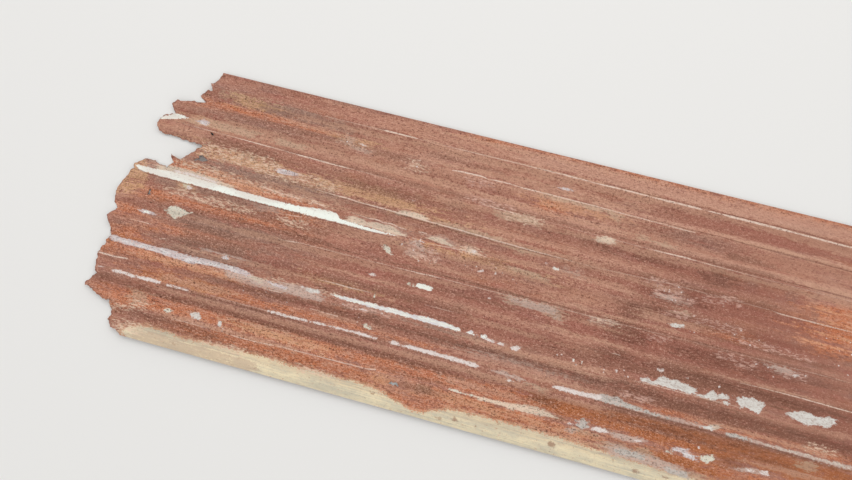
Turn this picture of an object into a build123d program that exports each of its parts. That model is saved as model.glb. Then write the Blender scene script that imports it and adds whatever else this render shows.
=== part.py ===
from build123d import *
import math
import os

# Corrugated roofing sheet, one roll-formed piece of galvanised steel, millimetres.
# +X runs along the corrugations, +Y across them, +Z up. The sheet lies flat with its
# troughs on Z = 0, and the origin is at the middle of its underside.
# The end at -X is rusted away to a ragged edge. The end at +X is cut square.

# Stock
sheet_length = 2438.0
sheet_thickness = 0.6

# Corrugation: round crests and troughs of one radius, joined by straight flanks.
# Past the outer crest and the outer trough the bend runs on to the sheet's long edges.
wave_pitch = 76.2
wave_depth = 18.0
flank_angle = 42.0
edge_bend_angle = 40.0
half_wave_count = 21

# The ragged end: how far each point of the torn edge stands in from the square end
# that the sheet once had, and its place across the sheet, from the far edge (+Y) to
# the near edge (-Y)
torn_edge = [
    (181, 395),
    (163, 370),
    (176, 349),
    (141, 328),
    (165, 314),
    (145, 306),
    (114, 302),
    (81, 296),
    (70, 280),
    (85, 257),
    (44, 233),
    (57, 191),
    (88, 186),
    (123, 185),
    (160, 179),
    (201, 175),
    (187, 166),
    (180, 148),
    (163, 128),
    (120, 129),
    (131, 107),
    (117, 85),
    (76, 101),
    (19, 75),
    (27, 60),
    (6, 24),
    (-4, -6),
    (-4, -48),
    (16, -66),
    (1, -98),
    (17, -127),
    (29, -150),
    (25, -181),
    (5, -205),
    (12, -231),
    (28, -265),
    (4, -293),
    (7, -307),
    (50, -323),
    (92, -329),
    (104, -353),
    (103, -382),
    (122, -401),
    (152, -411),
]

# Holes rusted through the sheet, each an outline in plan: distance in from the old
# square end, and place across the sheet
split_hole = [(191, 125), (207, 134), (204, 142), (215, 147), (235, 135), (220, 128)]
slanted_hole = [(212, 221), (217, 222), (227, 214), (222, 212)]
bow_tie_hole = [(88, 10), (93, 11), (95, 3), (101, -3), (92, -10), (93, -4), (91, 3)]
bat_hole = [
    (923, -348),
    (926, -344),
    (930, -340),
    (934, -343),
    (940, -340),
    (947, -341),
    (953, -347),
    (949, -350),
    (942, -346),
    (937, -350),
    (931, -348),
]
rust_holes = [split_hole, slanted_hole, bow_tie_hole, bat_hole]

# A pinhole rusted through the sheet
pinhole_diameter = 4.5
pinhole_in = 112.0
pinhole_across = -28.0

# Derived sizes
beta = math.radians(flank_angle)
edge_beta = math.radians(edge_bend_angle)
bend_radius = (
    wave_pitch / 4 * math.sin(beta) - wave_depth / 2 * math.cos(beta)
) / (1 - math.cos(beta))
apex_span = half_wave_count * wave_pitch / 2
first_crest_y = -apex_span / 2
sheet_width = apex_span + 2 * bend_radius * math.sin(edge_beta)
sheet_height = wave_depth + sheet_thickness
torn_end_x = -sheet_length / 2
trough_centre_z = sheet_thickness / 2 + bend_radius
crest_centre_z = sheet_thickness / 2 + wave_depth - bend_radius


def bend_arc(index, offset):
    """The arc of one crest or trough on the face that lies offset above mid-thickness.

    Even numbers are crests and odd ones troughs, counted from the near edge. The
    first and last arcs end at the sheet's long edges.
    """
    is_crest = index % 2 == 0
    up = 1 if is_crest else -1
    centre_y = first_crest_y + index * wave_pitch / 2
    centre_z = crest_centre_z if is_crest else trough_centre_z
    radius = bend_radius + up * offset
    start_angle = -edge_beta if index == 0 else -beta
    end_angle = edge_beta if index == half_wave_count else beta
    points = [
        (centre_y + radius * math.sin(a), centre_z + up * radius * math.cos(a))
        for a in (start_angle, (start_angle + end_angle) / 2, end_angle)
    ]
    return ThreePointArc(*points)


def sheet_face_line(offset):
    """One face of the sheet in section, from the near edge to the far edge."""
    edges = []
    for index in range(half_wave_count + 1):
        arc = bend_arc(index, offset)
        if edges:
            edges.append(Line(edges[-1] @ 1, arc @ 0))
        edges.append(arc)
    return edges


def full_sheet():
    """The whole sheet as it was rolled, with both ends square."""
    top = sheet_face_line(sheet_thickness / 2)
    underside = sheet_face_line(-sheet_thickness / 2)
    near_edge = Line(top[0] @ 0, underside[0] @ 0)
    far_edge = Line(top[-1] @ 1, underside[-1] @ 1)
    section = make_face(top + underside + [near_edge, far_edge])
    section_plane = Plane(origin=(torn_end_x, 0, 0), x_dir=(0, 1, 0), z_dir=(1, 0, 0))
    return extrude(section_plane * section, sheet_length)


def plan_cutter(outline):
    """A prism from an outline measured in from the old square end.

    It runs through the sheet and a wave's depth past it, above and below.
    """
    points = [(torn_end_x + inward, across) for inward, across in outline]
    face = make_face(Polyline(*points, close=True))
    prism = extrude(face, sheet_height + 2 * wave_depth)
    return Pos(0, 0, -wave_depth) * prism


def torn_end_cutter():
    """What rust has taken from the end at -X.

    The torn edge runs straight on past both long edges of the sheet, and the cutter
    is closed beyond the place where the sheet once ended.
    """
    far_in = torn_edge[0][0]
    near_in = torn_edge[-1][0]
    beyond_end = -wave_pitch
    corners = [
        (near_in, -sheet_width),
        (beyond_end, -sheet_width),
        (beyond_end, sheet_width),
        (far_in, sheet_width),
    ]
    return plan_cutter(torn_edge + corners)


def pinhole_cutter():
    """A round cutter for the pinhole."""
    place = Pos(torn_end_x + pinhole_in, pinhole_across, sheet_height / 2)
    return place * Cylinder(pinhole_diameter / 2, sheet_height + 2 * wave_depth)


def corrugated_sheet():
    """The sheet as it is now: rolled, then eaten away by rust."""
    sheet = full_sheet() - torn_end_cutter()
    for outline in rust_holes:
        sheet = sheet - plan_cutter(outline)
    return sheet - pinhole_cutter()


os.makedirs("parts", exist_ok=True)
export_step(corrugated_sheet(), "parts/corrugated_sheet.step")
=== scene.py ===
import math

import bpy
import numpy as np
from mathutils import Matrix, Vector


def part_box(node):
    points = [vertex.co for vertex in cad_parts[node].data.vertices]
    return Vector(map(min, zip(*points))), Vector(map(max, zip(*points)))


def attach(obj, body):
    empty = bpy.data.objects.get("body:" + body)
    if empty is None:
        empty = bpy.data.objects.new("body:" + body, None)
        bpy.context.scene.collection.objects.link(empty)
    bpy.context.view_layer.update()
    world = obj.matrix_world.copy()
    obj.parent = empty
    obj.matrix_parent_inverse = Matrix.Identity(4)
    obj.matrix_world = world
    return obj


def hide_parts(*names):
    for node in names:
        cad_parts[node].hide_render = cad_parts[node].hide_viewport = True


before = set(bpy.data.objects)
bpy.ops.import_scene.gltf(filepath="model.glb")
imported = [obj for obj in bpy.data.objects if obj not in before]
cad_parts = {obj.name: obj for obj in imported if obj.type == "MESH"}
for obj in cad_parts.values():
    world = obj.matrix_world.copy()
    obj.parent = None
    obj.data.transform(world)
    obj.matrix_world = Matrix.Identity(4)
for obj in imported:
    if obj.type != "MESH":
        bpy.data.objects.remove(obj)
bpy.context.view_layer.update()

# Rusted corrugated roofing sheet, metres. +X runs along the corrugations towards the
# square end, +Y across them, +Z up. Places on the sheet are given in millimetres: how
# far in from the old square end at -X, which rust has eaten, and how far across.
MM = 0.001
SHEET_NODE = "corrugated_sheet"
sheet_low, sheet_high = (np.array(corner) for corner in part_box(SHEET_NODE))
OLD_END = sheet_low[0]
SHEET_LENGTH = sheet_high[0] - sheet_low[0]
SHEET_HEIGHT = sheet_high[2]

# Section
SHEET_THICKNESS = 0.6 * MM
WAVE_PITCH = 76.2 * MM
HALF_WAVES = 21
FLANK_ANGLE = math.radians(42)
EDGE_BEND_ANGLE = math.radians(40)
WAVE_DEPTH = SHEET_HEIGHT - SHEET_THICKNESS
FIRST_CREST = -HALF_WAVES * WAVE_PITCH / 4
BEND_RADIUS = (
    WAVE_PITCH / 4 * math.sin(FLANK_ANGLE) - WAVE_DEPTH / 2 * math.cos(FLANK_ANGLE)
) / (1 - math.cos(FLANK_ANGLE))
HALF_FLANK = (WAVE_PITCH / 4 - BEND_RADIUS * math.sin(FLANK_ANGLE)) / math.cos(FLANK_ANGLE)
HALF_WAVE_RUN = 2 * (BEND_RADIUS * FLANK_ANGLE + HALF_FLANK)

# Mesh spacing
ROWS_PER_HALF_WAVE = 12
TORN_STEPS = 44
TORN_STEP = 6 * MM
PLAIN_STEPS = 180
PLAIN_STEPS_PER_UNDERSIDE_STEP = 4
SHARP_ANGLE = math.radians(40)

# Ragged lines: seed, how often each side is halved, the largest push as a share of its
# length, and how far past the sheet the torn line is closed, in millimetres
OUTLINE_SEED = 7
TEAR_PASSES, TEAR_BITE = 4, 0.17
HOLE_PASSES, HOLE_BITE = 2, 0.12
BEYOND_SHEET = 500

# Bending, in shares and millimetres: how far the waves flatten at the tear, how far in
# that reaches, and how far crests and troughs wear down along their length
TEAR_FLATTENING = 0.5
TEAR_REACH = 45
CREST_FLATTENING = 0.12

# Wandering lines: seed and step in millimetres, the shift from one wave to the next, the
# number of chance values, and which of them lies at place 0
TEAR_WANDER = {"seed": 3, "step": 38}
CREST_WANDER = {"seed": 5, "step": 170}
WAVE_SHIFT = 611
WANDER_VALUES = 400
WANDER_START = 100

# Largest depth stored inside or outside a mark, and how far round a thin line its place
# is stored, in millimetres
COAT_LIMIT = 60.0
STROKE_REACH = 11.0

# Outlines eaten by rust, in millimetres in from the old end and across
TORN_EDGE = [
    (181, 395), (163, 370), (176, 349), (141, 328), (165, 314), (145, 306), (114, 302), (81, 296),
    (70, 280), (85, 257), (44, 233), (57, 191), (88, 186), (123, 185), (160, 179), (201, 175),
    (187, 166), (180, 148), (163, 128), (120, 129), (131, 107), (117, 85), (76, 101), (19, 75),
    (27, 60), (6, 24), (-4, -6), (-4, -48), (16, -66), (1, -98), (17, -127), (29, -150), (25, -181),
    (5, -205), (12, -231), (28, -265), (4, -293), (7, -307), (50, -323), (92, -329), (104, -353),
    (103, -382), (122, -401), (152, -411),
]
SPLIT_HOLE = [(191, 125), (207, 134), (204, 142), (215, 147), (235, 135), (220, 128)]
SLANTED_HOLE = [(212, 221), (217, 222), (227, 214), (222, 212)]
BOW_TIE_HOLE = [(88, 10), (93, 11), (95, 3), (101, -3), (92, -10), (93, -4), (91, 3)]
PINHOLE = [(110, -28), (112, -26), (114, -28), (112, -30)]
BAT_HOLE = [
    (923, -348), (926, -344), (930, -340), (934, -343), (940, -340), (947, -341), (953, -347),
    (949, -350), (942, -346), (937, -350), (931, -348),
]
RUST_HOLES = [SPLIT_HOLE, SLANTED_HOLE, BOW_TIE_HOLE, PINHOLE, BAT_HOLE]

# Bent places: in, across, half length, half width, and how far the sheet is lifted
BENT_PLACES = [
    (205, 160, 26, 22, 9), (178, 178, 22, 8, 5), (140, 118, 16, 12, -5), (60, 240, 30, 14, -5),
    (120, 312, 30, 12, -6), (20, 66, 22, 12, -5), (150, 345, 26, 16, 5), (10, -250, 24, 18, -5),
    (60, -325, 40, 12, -6), (112, -395, 30, 14, -6), (8, -110, 22, 20, 4), (936, -346, 20, 10, -3),
]

# Marks of each finish on the upper face. A mark is either a list of stations along the
# sheet, each with how far in it is and the places across between which the mark lies
# there, or the middle of an ellipse, in and across, with half its length and half its width.
LIMEWASH = [
    [(26, 70, 73), (34, 64, 73), (44, 58, 71), (60, 55, 73), (75, 56, 72), (100, 54.5, 74),
     (125, 54.5, 76), (150, 54, 78), (200, 54, 78), (250, 53.5, 76), (280, 53, 75), (300, 52.5, 74),
     (350, 51.5, 72), (400, 51, 70.5), (520, 51.5, 70), (550, 51.5, 72), (575, 51.5, 78),
     (600, 51.5, 80.5), (635, 51.5, 81), (650, 52, 78), (658, 52, 67), (672, 52, 64), (700, 51.5, 62),
     (750, 51, 60), (775, 51, 59), (800, 53, 59), (832, 56, 57.5)],
    [(44, 227, 230), (52, 226, 240), (62, 231, 244), (84, 238, 257), (95, 241, 256), (110, 246, 255),
     (126, 249, 251)],
    [(926, -66, -60), (931, -70, -56), (955, -71, -56), (960, -75, -56), (968, -70, -57),
     (972, -67, -61)],
    [(1286, 81, 85), (1294, 78, 87), (1300, 76, 86), (1308, 80, 84)], (104, -57, 9, 4),
    (1396, -156, 5, 6), (1420, -156, 4, 6),
]
RIDGE_LIMEWASH = [
    [(702, -151, -149), (715, -155.5, -149), (730, -157.5, -148.5), (750, -158.5, -147),
     (790, -158, -148), (810, -158.5, -146.5), (830, -158.5, -146), (850, -159, -147.5),
     (875, -159, -145), (930, -159, -148), (955, -159.5, -146), (972, -159.5, -143.5),
     (1005, -160, -144.5), (1015, -160, -147), (1027, -160, -145), (1036, -160, -146),
     (1041, -160.5, -153), (1046, -160.5, -149), (1052, -160, -147), (1058, -160, -152),
     (1066, -161, -148), (1076, -161.5, -151), (1080, -162, -158)],
    [(1096, -160, -157), (1102, -161, -149), (1108, -161, -145.5), (1114, -160.5, -152),
     (1122, -160, -158)],
    [(1137, -161, -156), (1142, -162, -151), (1149, -161.5, -147.5), (1152, -161.5, -155)],
]
SOFT_LIMEWASH = [
    [(90, 68, 88), (118, 72, 94), (150, 74, 96), (200, 74, 96), (250, 73, 92), (290, 70, 87),
     (330, 68, 81)],
    [(1170, -326, -318), (1220, -326, -314), (1260, -327, -312), (1300, -327, -306), (1330, -325, -304),
     (1360, -322, -308), (1384, -317, -312)],
    [(683, 64, 78), (700, 61, 84), (728, 61, 82), (742, 64, 76)],
    [(744, 62, 76), (770, 60, 84), (800, 59, 84), (822, 60, 82), (840, 60, 70), (862, 60, 67)],
    [(922, 72, 78), (940, 70, 84), (962, 69, 88), (980, 68, 80), (996, 66, 70)],
    [(1044, 63, 74), (1058, 63, 78), (1068, 65, 74)],
    [(1390, 190, 200), (1404, 188, 206), (1424, 188, 206), (1438, 196, 206)],
    [(820, 122, 130), (846, 121, 136), (880, 121, 137), (912, 121, 130)],
    [(456, -166, -156), (480, -172, -158), (500, -176, -162)],
    [(1780, -242, -234), (1800, -240, -226), (1818, -228, -221)],
]
GREY_LIMEWASH = [
    [(1478, -243.5, -230), (1490, -243.5, -223), (1500, -243.5, -221.5), (1510, -244.5, -224),
     (1530, -244.5, -221.5), (1545, -243.5, -222), (1556, -243.5, -229), (1590, -243.5, -233),
     (1625, -243, -236), (1680, -243, -238)],
    [(1828, -244, -239), (1850, -245, -235), (1880, -244, -235), (1898, -242, -237)],
    [(1556, -364, -352), (1590, -367, -350), (1640, -364, -351)],
    [(1700, -380, -366), (1760, -382, -366)],
    [(1442, -322, -312), (1452, -328, -304), (1463, -330, -300), (1474, -320, -306)],
]
FLAKED_LIMEWASH = [
    [(1588, -164, -160), (1594, -164, -153), (1602, -163, -147), (1607, -163, -152), (1614, -163, -157),
     (1622, -163, -156), (1628, -162, -149), (1634, -162, -145), (1638, -162, -138), (1648, -162, -136),
     (1656, -162, -132.5), (1663, -162, -139), (1678, -162, -134), (1692, -162, -134.5),
     (1698, -162, -139), (1706, -163, -136), (1712, -164, -142), (1722, -165, -140), (1732, -158, -142),
     (1740, -151, -145)],
    [(1737, -161, -157), (1745, -165, -158), (1752, -161, -158)],
    [(1752, -162, -160), (1762, -163, -156), (1770, -163, -147), (1778, -164, -141), (1788, -164, -137),
     (1794, -163, -140), (1799, -152, -149), (1803, -153, -142), (1812, -153, -137), (1822, -151, -138),
     (1827, -147, -143)],
    [(1803, -163, -160), (1818, -165, -158), (1828, -165, -160)],
    [(1848, -150, -140), (1853, -160, -140), (1858, -166, -138), (1866, -160, -133), (1874, -157, -131),
     (1884, -162, -130.5), (1892, -166, -128.5), (1899, -167, -129), (1909, -168, -135),
     (1914, -158, -133), (1920, -146, -131.5), (1924, -136, -132)],
    [(1986, -150, -147), (1994, -151, -139), (2003, -157, -137), (2012, -158, -134), (2022, -162, -131),
     (2036, -163, -128), (2050, -162, -128), (2060, -158, -132), (2068, -154, -136), (2086, -156, -130),
     (2096, -155, -127), (2108, -146, -126), (2116, -136, -129)],
    [(2262, -160, -152), (2290, -163, -140), (2312, -163, -144), (2336, -158, -152)],
    [(1637, 6, 10), (1644, 5, 16), (1656, 4, 18), (1664, 7, 18), (1668, 13, 21), (1678, 15, 21)],
    [(628, -160, -152), (640, -162, -148), (655, -162, -148), (666, -158, -151)],
    [(325, -305, -303), (335, -314, -299), (350, -316, -299), (362, -314, -310)],
    [(414, -308, -303), (420, -318, -301), (428, -328, -308), (434, -330, -322)],
    [(1770, -243, -237), (1784, -243, -232), (1796, -242, -232)],
]
THIN_LIMEWASH = [
    [(140, 79, 86), (200, 80, 88), (250, 78, 86), (285, 76, 82)], [(26, -247, -244), (46, -247, -243)],
    [(72, -249, -244), (92, -250, -241), (110, -249, -241), (118, -248, -243)],
    [(119, -250, -243), (130, -252, -242), (142, -251, -244)],
    [(144, -249, -243), (160, -250, -242), (185, -250, -240), (208, -249.5, -241), (220, -246, -242)],
    [(238, -250, -244), (245, -250, -243), (251, -247, -244)],
    [(254, -248, -243.5), (280, -248.5, -243.5), (307, -248, -244.5)],
    [(540, -245, -241), (560, -245.5, -239), (600, -246, -240), (640, -245, -238), (662, -243, -239)],
    [(664, -243, -239), (690, -243, -236), (714, -241, -238)],
    [(712, -240, -237), (740, -240.5, -236), (770, -240.5, -235), (796, -240.5, -235)],
    [(793, -240.5, -235), (805, -241.5, -233.5), (850, -242, -235), (862, -240.5, -237.5)],
    [(895, -240, -237), (902, -242.5, -232.5), (915, -242.5, -231.5), (927, -240, -236)],
    [(938, -240, -236), (950, -242.5, -231.5), (975, -241.5, -232.5), (1000, -242.5, -231.5),
     (1040, -242.5, -233), (1080, -243.5, -231), (1110, -243.5, -233.5), (1140, -245.5, -232.5),
     (1152, -243, -237)],
    [(1360, -240.5, -239), (1368, -243.5, -233.5), (1384, -244.5, -231.5), (1400, -244.5, -232.5),
     (1450, -244, -232.5), (1470, -243.5, -229), (1484, -242, -227), (1494, -238, -229)],
    [(1150, -163, -158), (1160, -167, -158), (1174, -167, -160)],
    [(1185, -166, -159), (1196, -169, -160), (1205, -168, -164)],
    [(1226, -172, -162), (1238, -173, -158), (1250, -165, -156)],
    [(606, -152, -149), (615, -156, -149), (624, -158, -154)],
    [(654, 296, 302), (665, 296, 301), (682, 292, 296)],
    [(1482, -324, -318), (1492, -325, -314), (1505, -325, -312), (1524, -321, -312), (1531, -321, -317)],
    [(1600, -323, -318), (1612, -323, -316), (1622, -320, -315)],
    [(1898, -322, -315), (1912, -320, -312), (1920, -318, -314)],
    [(1936, -320, -311), (1948, -320, -307), (1958, -318, -306)], (1243, -255, 8, 3),
    (1776, -295, 5, 5), (1864, -47, 4, 7), (1636, -120, 9, 5), (1797, -122, 4, 5), (1709, -121, 4, 4),
    (1518, -154, 5, 5), (1540, -163, 4, 5), (1344, -165, 4, 5), (1426, -323, 7, 3), (1059, 70, 8, 5),
    (206, 42, 8, 5), (855, 39, 4, 4), (1297, 39, 4, 4), (1138, 26, 5, 4), (1055, 28, 4, 4),
    (1097, 24, 4, 3), (1088, 18, 4, 3), (852, 174, 5, 3), (797, -171, 5, 3), (812, -171, 4, 3),
    (854, -167, 4, 3), (740, -172, 5, 2), (774, 203, 3, 6), (1527, 206, 4, 4), (1135, -47, 4, 3),
    (797, -67, 11, 4), (902, 62, 5, 3), (912, 59, 4, 3), (1992, -40, 8, 4),
]
MILKY_FILM = [
    [(28, -158, -145), (40, -163, -145), (52, -164, -146), (60, -163, -149), (70, -164, -148),
     (90, -165, -146), (150, -165, -148), (175, -166, -148), (200, -167, -146), (225, -167, -146.5),
     (240, -168, -149), (262, -170, -149), (280, -172, -149), (292, -171, -149), (300, -167, -148),
     (320, -164, -146), (345, -162, -145), (370, -162, -146.5), (400, -162, -146), (430, -162, -147),
     (445, -163, -149), (460, -165, -153)],
    [(518, -167, -162), (530, -170, -163), (560, -172, -165), (578, -171, -167)],
    [(78, -60, -57), (90, -62, -52), (104, -62, -51), (118, -60, -54), (132, -58, -56)],
    [(160, 246, 252), (172, 241, 257), (186, 242, 257), (196, 247, 252)],
    [(438, 154, 166), (450, 151, 171), (470, 154, 170), (490, 158, 168), (500, 160, 164)],
    [(1702, -318, -313), (1715, -320, -307), (1735, -315, -306), (1746, -312, -306)],
    [(1726, -322, -315), (1740, -329, -315), (1755, -329, -318), (1768, -330, -320)],
    [(1256, 315, 321), (1272, 314, 324), (1292, 316, 322)],
    [(2150, -330, -318), (2200, -332, -314), (2260, -330, -318)], (373, -128, 11, 7), (1270, 92, 5, 6),
]
DUSTY_FILM = [
    [(1195, -243, -236), (1215, -246, -233), (1235, -247, -234), (1260, -248, -236), (1282, -247, -241)],
    [(1533, -322, -317), (1545, -326, -314), (1558, -327, -313), (1575, -327, -313), (1600, -325, -314),
     (1632, -320, -311)],
    [(1862, -327, -321), (1890, -326, -317), (1908, -325, -310), (1932, -320, -310)],
    (1432, -340, 18, 8),
    [(456, -180, -162), (500, -182, -161), (545, -184, -163), (600, -184, -163), (650, -181, -163),
     (684, -179, -165)],
    [(400, -178, -161), (430, -178, -161), (470, -174, -161)],
    [(560, -168, -154), (610, -166, -150), (670, -166, -150)],
    [(1186, -40, -28), (1230, -46, -28), (1300, -46, -28), (1330, -56, -30)],
    [(1560, -243, -236), (1640, -244, -236), (1770, -243, -234)],
    [(1895, -246, -236), (2000, -247, -238), (2200, -247, -238)],
    [(1540, -374, -344), (1600, -374, -346), (1660, -374, -350), (1740, -378, -356)],
    [(1590, 76, 88), (1640, 76, 90)], [(300, -124, -118), (430, -124, -118)],
    [(1925, -40, -28), (1980, -44, -28)], [(880, 46, 62), (900, 40, 62), (925, 20, 40)],
]
PINK_FILM = [
    [(384, -166, -160), (410, -182, -160), (440, -187, -160), (480, -186, -162), (505, -186, -164),
     (540, -187, -165)],
    [(686, 64, 76), (710, 62, 80), (760, 62, 82), (800, 60, 82), (845, 60, 82), (862, 64, 76)],
    [(54, 72, 95), (75, 70, 104), (95, 70, 98), (120, 74, 92)],
    [(918, 68, 84), (945, 70, 92), (965, 72, 92), (985, 70, 86), (1012, 64, 74)],
    [(1030, 64, 80), (1050, 63, 84), (1070, 64, 78)],
    [(1586, 74, 86), (1610, 70, 91), (1640, 72, 94), (1674, 76, 90)],
    [(604, 290, 320), (618, 287, 324), (636, 288, 316)], (664, 280, 28, 7), (440, 40, 40, 8),
    (1955, -38, 26, 8), (895, 24, 24, 12), [(1320, 78, 90), (1370, 77, 90)], (1450, -32, 22, 6),
    (1250, -202, 110, 6),
]
CREAM_FILM = [
    [(1166, -38, -27), (1185, -46, -26), (1200, -50, -26), (1225, -51, -26), (1242, -46, -27),
     (1290, -46, -26), (1312, -54, -26), (1332, -60, -26), (1348, -62, -34)],
    [(1220, 274, 287), (1300, 277, 287), (1360, 275, 287), (1400, 272, 286), (1418, 268, 284),
     (1436, 260, 276)],
    [(1150, 107, 115), (1180, 101, 117), (1200, 101, 117), (1237, 108, 116)],
    [(1500, 224, 236), (1516, 222, 242), (1530, 228, 236)],
    [(1284, -250, -243), (1304, -255, -243), (1322, -260, -246), (1342, -262, -256)],
    [(1555, 221, 232), (1580, 220, 234), (1604, 222, 230)],
    [(1172, 46, 54), (1220, 42, 55), (1260, 39, 50), (1288, 38, 46)],
    [(146, -322, -282), (165, -326, -282), (192, -322, -290)],
    [(925, 118, 130), (1000, 118, 133), (1040, 117, 131), (1130, 116, 128)],
    [(1640, 45, 54), (1665, 44, 55), (1684, 45, 52)],
    [(404, 238, 254), (440, 238, 257), (500, 240, 252)],
    [(180, -424, -386), (330, -424, -384), (560, -424, -388)],
    [(120, 236, 258), (240, 236, 262), (350, 238, 258)],
    [(320, 172, 184), (345, 170, 186), (370, 174, 184)],
    [(2030, -274, -258), (2060, -282, -256), (2084, -276, -262)],
    [(1095, 189, 206), (1160, 187, 207), (1215, 190, 206)],
    [(1430, -340, -330), (1470, -342, -330), (1500, -338, -330)],
    [(1516, -362, -350), (1540, -372, -342), (1570, -374, -337), (1600, -374, -345), (1640, -372, -332),
     (1670, -376, -350), (1720, -380, -358), (1800, -378, -362)],
]
CHALK = [
    [(150, 108, 120), (215, 107, 118), (260, 107, 117), (330, 103, 112), (400, 99, 109)],
    [(404, 94, 107), (450, 91, 102), (500, 91, 101), (532, 91, 98)], [(552, 91, 99), (612, 90, 98)],
    [(140, 19, 31), (200, 16, 30), (250, 16, 32), (290, 13, 33), (330, 13, 32), (368, 15, 28),
     (392, 19, 26)],
    [(496, 24, 30), (520, 12, 30), (566, 14, 30)], [(118, 84, 92), (200, 86, 94), (280, 82, 90)],
    [(220, 150, 187), (330, 148, 188), (423, 144, 186), (440, 150, 170)],
    [(430, 134, 152), (500, 136, 152)], [(500, 144, 166), (560, 141, 167), (620, 140, 160)],
    [(518, -158, -151), (550, -159, -149), (584, -158, -151)], [(686, -156, -149), (712, -152, -147)],
    [(886, 14, 28), (900, 12, 33), (914, 11, 34), (926, 16, 30)], [(926, 14, 40), (952, 12, 42)],
    [(1030, 64, 76), (1044, 63, 81), (1070, 64, 78)], [(1134, 189, 206), (1166, 188, 206)],
    [(1190, 190, 208), (1212, 191, 207)], [(1440, -35, -26), (1460, -37, -25), (1480, -32, -26)],
    [(828, 268, 284), (846, 266, 282)], [(170, -330, -312), (192, -332, -314)],
    [(2060, -222, -208), (2110, -222, -206)], [(100, -347, -338), (150, -342, -334)],
    [(400, -376, -366), (500, -378, -366)], [(680, -378, -366), (760, -374, -366)],
    [(140, -402, -372), (200, -400, -372)],
]
PINK_FLECKS = [
    [(1560, 112, 122), (1600, 112, 122), (1630, 104, 122), (1650, 98, 110)],
    [(1590, 88, 104), (1640, 88, 104)], [(1636, 80, 92), (1680, 80, 92)],
    [(1716, 101, 113), (1760, 102, 114)], [(1772, 114, 124), (1804, 108, 122)],
    [(1626, 36, 48), (1686, 36, 48)], [(1716, 32, 46), (1768, 34, 46)],
    [(1784, 32, 44), (1820, 32, 44)], [(1834, 10, 22), (1880, 10, 22)],
    [(1884, 8, 20), (1960, 8, 20), (2030, 8, 18)], [(1974, -50, -32), (2010, -48, -32)],
    [(1596, -44, -32), (1626, -44, -32)], [(1780, -44, -30), (1820, -44, -30)],
    [(1850, -54, -36), (1874, -54, -36)], [(1560, -216, -202), (1626, -216, -202)],
    [(2180, 60, 72), (2280, 62, 74)], [(1000, 262, 280), (1060, 262, 280)],
    [(740, -172, -164), (870, -172, -164)], [(1010, 214, 228), (1130, 212, 226)],
    [(880, 20, 44), (960, 16, 44)],
]
CREAM_CHIPS = [
    [(164, -42, -36), (172, -48, -26), (182, -53, -22), (192, -54, -21), (204, -48, -23),
     (216, -40, -27), (226, -34, -29), (240, -28, -26)],
    [(804, 17, 26), (814, 7, 29), (823, 2, 22), (833, 1, 12)],
    [(1778, -322, -316), (1790, -328, -312), (1800, -328, -306), (1816, -312, -305)],
    [(256, -318, -310), (266, -322, -306), (276, -318, -308)],
    [(812, -212, -204), (820, -219, -202), (832, -218, -210)],
    [(903, -70, -62), (912, -73, -60), (918, -70, -64)],
    [(1090, -322, -318), (1112, -323, -316), (1126, -321, -318)],
    [(1136, -322, -319), (1170, -323, -319), (1210, -323, -319)],
    [(1890, -243, -237), (1900, -243, -238)],
    [(1930, -243.5, -239), (1980, -244, -239), (2100, -245, -238), (2232, -245, -239)],
    [(2120, 210, 226), (2180, 206, 230), (2250, 212, 224)], (1698, -326, 10, 4), (850, -124, 4, 7),
    (818, -124, 4, 8),
]
SPECKLED = [
    [(886, -2, 40), (920, -4, 44), (958, -2, 42)], [(1040, 0, 44), (1110, 0, 44), (1200, -4, 36)],
    [(1256, 20, 48), (1380, 20, 48)], [(730, -177, -166), (875, -178, -166)],
    [(1520, 196, 212), (1536, 196, 212)], [(1584, 72, 122), (1620, 70, 124), (1672, 76, 116)],
    [(800, 258, 284), (880, 258, 282)], [(1715, 98, 112), (1758, 98, 114)],
    [(1775, 92, 122), (1802, 92, 122)], [(1560, 0, 50), (1960, 2, 52)],
    [(1860, -60, -26), (2040, -58, -26)], [(2040, 0, 120), (2300, -20, 140)],
    [(1330, -172, -146), (1560, -172, -144)], [(600, 284, 326), (640, 284, 326)],
    [(400, -206, -192), (800, -208, -194)],
]
ZINC = [
    [(160, -408, -396), (178, -414, -386), (200, -430, -376), (240, -430, -374), (270, -430, -373),
     (300, -430, -375), (328, -430, -381), (350, -430, -377), (400, -430, -374), (450, -430, -372),
     (500, -430, -371), (620, -430, -368), (640, -430, -374), (680, -430, -372), (700, -430, -369),
     (750, -430, -370), (800, -430, -370), (840, -430, -368), (880, -430, -371), (918, -430, -378),
     (940, -430, -386), (960, -430, -390), (985, -430, -396), (1005, -430, -402), (1032, -430, -401),
     (1050, -430, -391), (1075, -430, -383), (1090, -430, -376), (1110, -430, -371), (1150, -430, -368),
     (1300, -430, -367), (1400, -430, -368), (1450, -430, -369), (1520, -430, -372), (1620, -430, -374),
     (1720, -430, -378), (1850, -430, -374), (1950, -430, -368), (2060, -430, -370), (2140, -430, -360),
     (2200, -430, -354), (2280, -430, -360), (2360, -430, -370), (2438, -430, -366)],
    [(186, 42, 51), (196, 38, 52), (206, 42, 50)],
    [(2200, -120, -112), (2260, -128, -108), (2320, -122, -112)],
]
DARK_SPOTS = [
    [(999, -350, -328), (1003, -352, -326), (1034, -350, -326), (1042, -346, -328)],
    (1390, -389, 11, 8), (1430, -373, 5, 3), (1124, -394, 9, 6), (888, -384, 6, 4), (1158, -372, 7, 3),
    (1082, -402, 7, 4), (1180, -396, 5, 3), (560, -404, 6, 4), (312, -398, 5, 3), (1240, -374, 6, 3),
    (1700, -392, 8, 4), (1620, -398, 10, 5), (1560, -386, 5, 3), (1395, -318, 18, 6),
]
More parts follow.
